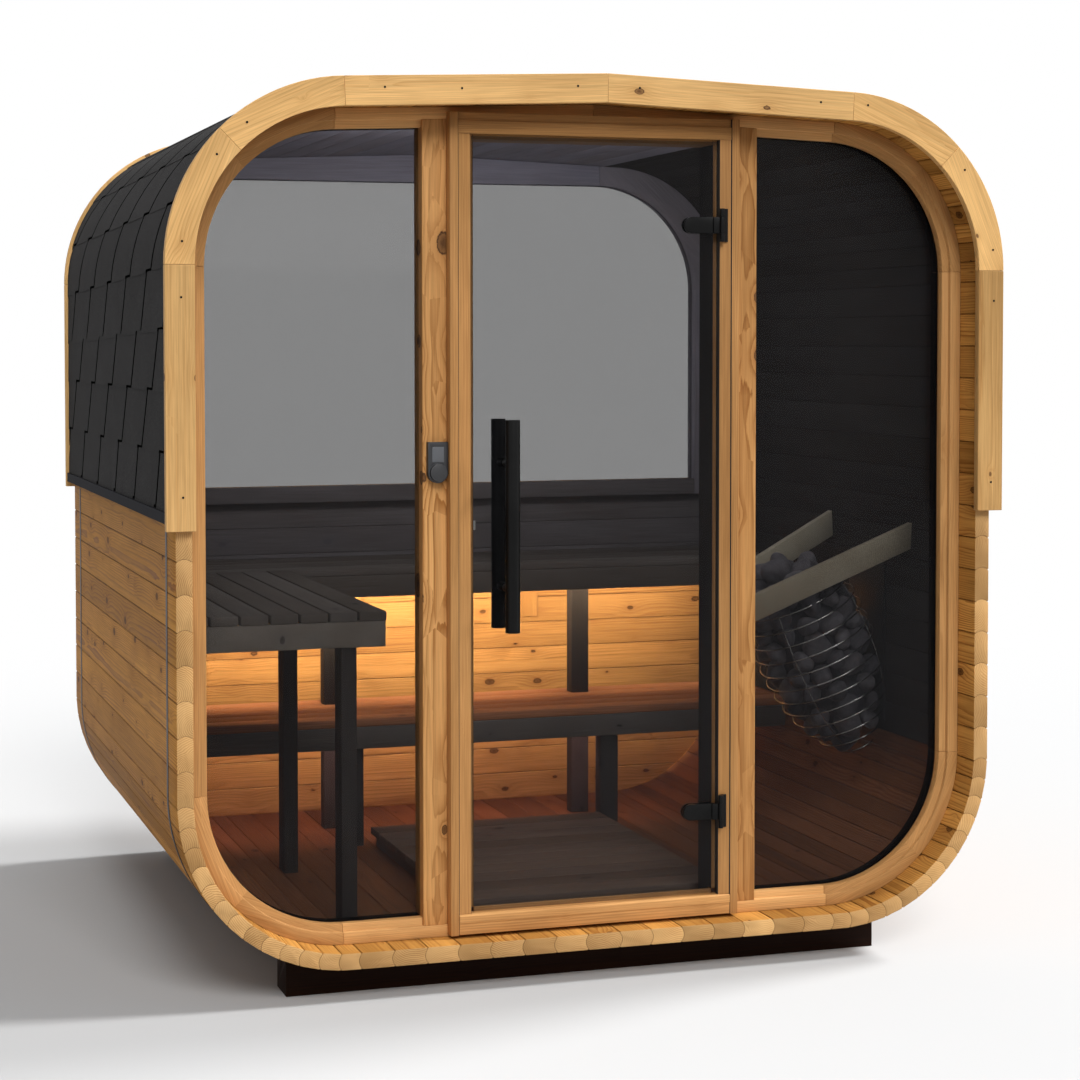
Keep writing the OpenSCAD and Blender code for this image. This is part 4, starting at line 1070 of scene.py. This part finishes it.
def controller_face():
    """A blank grey display above the knob and a pale ring round the knob's foot."""
    low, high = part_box("controller")
    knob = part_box("controller_knob")
    middle = (low.x + high.x) / 2
    display = block("controller_display", DISPLAY_SIZE,
                    (middle, low.y + DISPLAY_PROUD, high.z - DISPLAY_DROP), 0.0005)
    finish_piece(display, GREY_PLASTIC, "black_plastic")
    ring_r = (knob[1].x - knob[0].x) / 2 + KNOB_RING_GAP
    bpy.ops.mesh.primitive_torus_add(major_radius=ring_r, minor_radius=KNOB_RING_R,
                                     major_segments=48, minor_segments=8)
    trim = added("controller_knob_ring")
    trim.rotation_euler = (math.radians(90), 0, 0)
    trim.location = ((knob[0].x + knob[1].x) / 2, low.y, (knob[0].z + knob[1].z) / 2)
    apply_place(trim)
    bpy.ops.object.shade_smooth()
    finish_piece(trim, GREY_PLASTIC, "black_plastic")


controller_face()
painted(NODES["light_strip"], DIFFUSER)

# ---- heater

WALL_T = 0.042
WALL_IN = HALF_W - WALL_T
HEATER_R, HEATER_GAP = 0.18, 0.005
HEATER_AT = Vector((WALL_IN - HEATER_GAP - HEATER_R, FRONT + 0.604, STAVE_Z + 0.7))
HEATER_LEAN = math.radians(25)
TIP, RIM, TOP = -0.375, 0.15, 0.265
BASKET_FOOT = 0.025
HOOPS, HOOP_R = 12, 0.0021
RIB_STEPS, RIB_R, RIB_INSET = 24, 0.0016, 0.004
ROCK_R = (0.03, 0.045)
ROCKS, ROCK_TRIES, ROCK_SPACING = 150, 9000, 0.8
WIRE_GAP, HEAP_INSET = 0.008, 0.006
CORE_FOOT, CORE_INSET = 0.05, 0.055
PLATE_T = 0.0076
PLATE_SIZE = (0.22, 0.47)
LEAN = Matrix.Translation(HEATER_AT) @ Matrix.Rotation(-HEATER_LEAN, 4, "Y")


def basket_radius(t):
    """Radius of the basket at t along its axis from the widest hoop."""
    if t < 0:
        return HEATER_R * max(0.0, 1 - (t / TIP) ** 2.3) ** 0.62
    return HEATER_R * (1 - 0.09 * (t / RIM) ** 2)


def trimmed_at_wall(obj, gap):
    """Cuts off what would run into the back plate."""
    with editing(obj):
        cut_away((WALL_IN - gap, 0, 0), (1, 0, 0))
    return obj


def up_basket(step, steps):
    """Height on the basket's axis after some of the equal steps from its foot to its rim."""
    return TIP + BASKET_FOOT + (RIM - TIP - BASKET_FOOT) * step / steps


def heater_wires():
    """Round wire hoops and upright wires."""
    wires = []
    for i in range(HOOPS):
        t = up_basket(i, HOOPS - 1)
        bpy.ops.mesh.primitive_torus_add(major_segments=56, minor_segments=8,
                                         major_radius=basket_radius(t), minor_radius=HOOP_R,
                                         location=(0, 0, t))
        wires.append(apply_place(added("hoop")))
    for i in range(4):
        a = math.radians((i + 0.5) * 90)
        curve = bpy.data.curves.new("rib", "CURVE")
        curve.dimensions = "3D"
        curve.bevel_depth = RIB_R
        curve.bevel_resolution = 1
        line = curve.splines.new("POLY")
        line.points.add(RIB_STEPS)
        for k, p in enumerate(line.points):
            t = up_basket(k, RIB_STEPS)
            r = basket_radius(t) - RIB_INSET
            p.co = (r * math.cos(a), r * math.sin(a), t, 1.0)
        activate(linked("rib", curve))
        bpy.ops.object.convert(target="MESH")
        wires.append(bpy.context.object)
    basket = joined(wires, "heater_basket_wires")
    basket.data.transform(LEAN)
    activate(trimmed_at_wall(basket, PLATE_T - 0.001))
    bpy.ops.object.shade_smooth()
    finish_piece(basket, WIRE, "heater_wire", "heater_basket")

    plate = block("heater_back_plate", (PLATE_T - 0.0006, *PLATE_SIZE),
                  (WALL_IN - PLATE_T / 2 - 0.0001, HEATER_AT.y, HEATER_AT.z), 0.0025, 3)
    finish_piece(plate, PLATE, "heater_wire")


def rock(size, at, seed):
    """A split stone: a ball squeezed unevenly and chipped by slow noise."""
    bpy.ops.mesh.primitive_ico_sphere_add(subdivisions=3, radius=1.0)
    piece = added("stone")
    with editing(piece):
        bpy.ops.transform.resize(value=(1.0, rng.uniform(0.8, 0.98), rng.uniform(0.7, 0.92)))
    offset = Vector((seed * 7.3, seed * 3.1, seed * 1.7))
    for v in piece.data.vertices:
        d = noise.noise(v.co * 0.9 + offset) * 0.3 + noise.noise(v.co * 2.3 + offset) * 0.08
        v.co *= 1.0 + d
    piece.scale = (size, size, size)
    piece.rotation_euler = [rng.uniform(0, 6.28) for _ in range(3)]
    piece.location = at
    return apply_place(piece)


def heater_rocks():
    """Stones packed against the wires and heaped above the top hoop."""
    rng.seed(31)
    places = []
    tries = 0
    while tries < ROCK_TRIES and len(places) < ROCKS:
        tries += 1
        size = rng.uniform(*ROCK_R)
        t = rng.uniform(TIP + 0.05, TOP - 0.02)
        a = rng.uniform(0, 2 * math.pi)
        if t > RIM - 0.01:
            h = (t - RIM) / (TOP - RIM)
            r = (basket_radius(RIM) - HEAP_INSET) * math.sqrt(max(0.0, 1 - h * h)) - size * 0.5
            r *= math.sqrt(rng.random())
        else:
            r = basket_radius(t) - size * 0.92 - WIRE_GAP
        if r < 0:
            continue
        p = LEAN @ Vector((r * math.cos(a), r * math.sin(a), t))
        if p.x + size * 1.05 > WALL_IN - PLATE_T:
            continue
        if any((p - q).length < ROCK_SPACING * (size + s) for q, s in places):
            continue
        places.append((p, size))
    rocks = [rock(size, p, i) for i, (p, size) in enumerate(places)]
    heap = joined(rocks, "heater_stone_heap")
    grain_frames(heap)
    smoothed(trimmed_at_wall(heap, PLATE_T + 0.0005), 50)
    finish_piece(heap, STONE, "sauna_stones", "heater_stones")

    bpy.ops.mesh.primitive_uv_sphere_add(segments=24, ring_count=16, radius=1.0)
    core = added("heater_stone_core")
    for v in core.data.vertices:
        t = TIP + CORE_FOOT + (RIM + 0.02 - TIP - CORE_FOOT) * (v.co.z + 1) / 2
        flat = math.hypot(v.co.x, v.co.y)
        r = max(0.0, basket_radius(min(t, RIM)) - CORE_INSET) * min(1.0, flat * 1.6)
        a = math.atan2(v.co.y, v.co.x)
        v.co = (r * math.cos(a), r * math.sin(a), t)
    core.data.transform(LEAN)
    trimmed_at_wall(core, PLATE_T + 0.004)
    finish_piece(core, STONE, "sauna_stones")


heater_wires()
heater_rocks()

# ---- floor, light and camera

FLOOR_SIZE, FLOOR_GAP = 80.0, 0.0005
SHADOW_REACH = (2.6, 6.5)
PAPER = (0.46, 0.46, 0.46)
SOFT_WHITE = (0.95, 0.97, 1.0)
SKY_STRENGTH = 0.46


def seen_ray(tree):
    """1 on rays from the camera, off a gloss or through the glass, and 0 on the others."""
    ray = add_node(tree, "LightPath").outputs
    seen = maths(tree, "MAXIMUM", ray["Is Camera Ray"], ray["Is Glossy Ray"])
    return maths(tree, "MAXIMUM", seen, ray["Is Transmission Ray"])


def blended_output(tree, kind, fac, first, second):
    """Sends a blend of two shaders to the tree's output."""
    mix = add_node(tree, "MixShader", {0: fac, 1: first.outputs[0], 2: second.outputs[0]})
    add_node(tree, kind, {0: mix.outputs[0]})


def floor_material():
    """Pale floor that keeps the shadow near the sauna and runs out to white."""
    mat = bpy.data.materials.new("studio_floor")
    tree = cleared_tree(mat)
    fade = add_node(tree, "MapRange", {
        "From Min": SHADOW_REACH[0], "From Max": SHADOW_REACH[1],
        "Value": vector_length(tree, object_place(tree))}, interpolation_type="SMOOTHSTEP")
    paper = add_node(tree, "BsdfDiffuse", {"Color": PAPER})
    white = add_node(tree, "Emission", {"Strength": seen_ray(tree)})
    blended_output(tree, "OutputMaterial", fade.outputs[0], paper, white)
    return mat


bpy.ops.mesh.primitive_plane_add(size=FLOOR_SIZE)
floor = added("studio_floor_sheet")
floor.location = (0, 0, CAD_BOX[0].z - FLOOR_GAP)
apply_place(floor)
floor.data.materials.append(floor_material())


def lit_world():
    """White to the camera and to reflections, and an even soft light on the sauna."""
    world = bpy.data.worlds.new("studio")
    bpy.context.scene.world = world
    tree = cleared_tree(world)
    white = add_node(tree, "Background", {"Color": (1.0, 1.0, 1.0)})
    soft = add_node(tree, "Background", {"Color": SOFT_WHITE, "Strength": SKY_STRENGTH})
    blended_output(tree, "OutputWorld", seen_ray(tree), soft, white)


def sun(name, strength, angle, heading, height):
    """A soft distant lamp that shines from the given heading and height, in degrees."""
    data = bpy.data.lights.new(name, "SUN")
    data.energy = strength
    data.angle = math.radians(angle)
    h, e = math.radians(heading), math.radians(height)
    from_dir = Vector((math.sin(h) * math.cos(e), -math.cos(h) * math.cos(e), math.sin(e)))
    lamp = linked(name, data)
    lamp.rotation_mode = "QUATERNION"
    lamp.rotation_quaternion = (-from_dir).to_track_quat("-Z", "Y")


def glow_lamp(name, place, length, width, tilt, watts, colour):
    """A long lamp across the room that shines to the back, tilted up from straight down."""
    data = bpy.data.lights.new(name, "AREA")
    data.shape = "RECTANGLE"
    data.size = length
    data.size_y = width
    data.energy = watts
    data.color = colour
    lamp = linked(name, data)
    lamp.location = place
    lamp.rotation_euler = (math.radians(tilt), 0, 0)


lit_world()
sun("key", 1.85, 25, -4, 42)
sun("side_back", 2.9, 10, 100, 45)
sun("side_front", 2.9, 10, 79, 45)
UPPER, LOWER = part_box("upper_bench_frame")[0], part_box("lower_bench_frame")[0]
GLOW_Y, GLOW_Z = UPPER.y + 0.05, UPPER.z + 0.025
GLOW_W = 0.02
AMBER, ROSE, FILL = (1.0, 0.82, 0.56), (1.0, 0.62, 0.56), (1.0, 0.98, 1.0)
glow_lamp("upper_glow_left", (-0.33, GLOW_Y, GLOW_Z), 1.4, GLOW_W, 86, 26, AMBER)
glow_lamp("upper_glow_right", (0.74, GLOW_Y, GLOW_Z), 0.4, GLOW_W, 86, 5.8, AMBER)
glow_lamp("lower_glow", (-0.15, LOWER.y + 0.06, LOWER.z + 0.005), 1.7, GLOW_W, 72, 4.4, ROSE)
glow_lamp("room_fill", (-0.1, FRONT + 0.35, DOOR_HEAD.z - 0.12), 1.3, 0.4, 66, 9, FILL)

CAMERA_AT = (-2.1045, -6.2341, 1.6725)
CAMERA_YAW, CAMERA_PITCH, CAMERA_ROLL = 0.28299, -0.0362, -0.00253
LENS_MM, SENSOR_MM = 73.016, 36.0
LENS_SHIFT = (0.1296, -0.1074)


def camera_view(yaw, pitch, roll):
    """The camera's turn from its heading, tilt and roll, in radians."""
    ahead = Vector((math.sin(yaw) * math.cos(pitch), math.cos(yaw) * math.cos(pitch),
                    math.sin(pitch)))
    right = Vector((math.cos(yaw), -math.sin(yaw), 0))
    up = right.cross(ahead)
    rolled_right = right * math.cos(roll) + up * math.sin(roll)
    rolled_up = up * math.cos(roll) - right * math.sin(roll)
    return Matrix((rolled_right, rolled_up, -ahead)).transposed().to_4x4()


def front_camera():
    """A camera to the left of the front, at eye level."""
    data = bpy.data.cameras.new("camera")
    data.sensor_width = SENSOR_MM
    data.lens = LENS_MM
    data.shift_x, data.shift_y = LENS_SHIFT
    data.clip_start = 0.1
    data.clip_end = 200.0
    camera = linked("camera", data)
    camera.matrix_world = Matrix.Translation(CAMERA_AT) @ camera_view(
        CAMERA_YAW, CAMERA_PITCH, CAMERA_ROLL)
    bpy.context.scene.camera = camera


front_camera()
bpy.context.scene.view_settings.view_transform = "Standard"
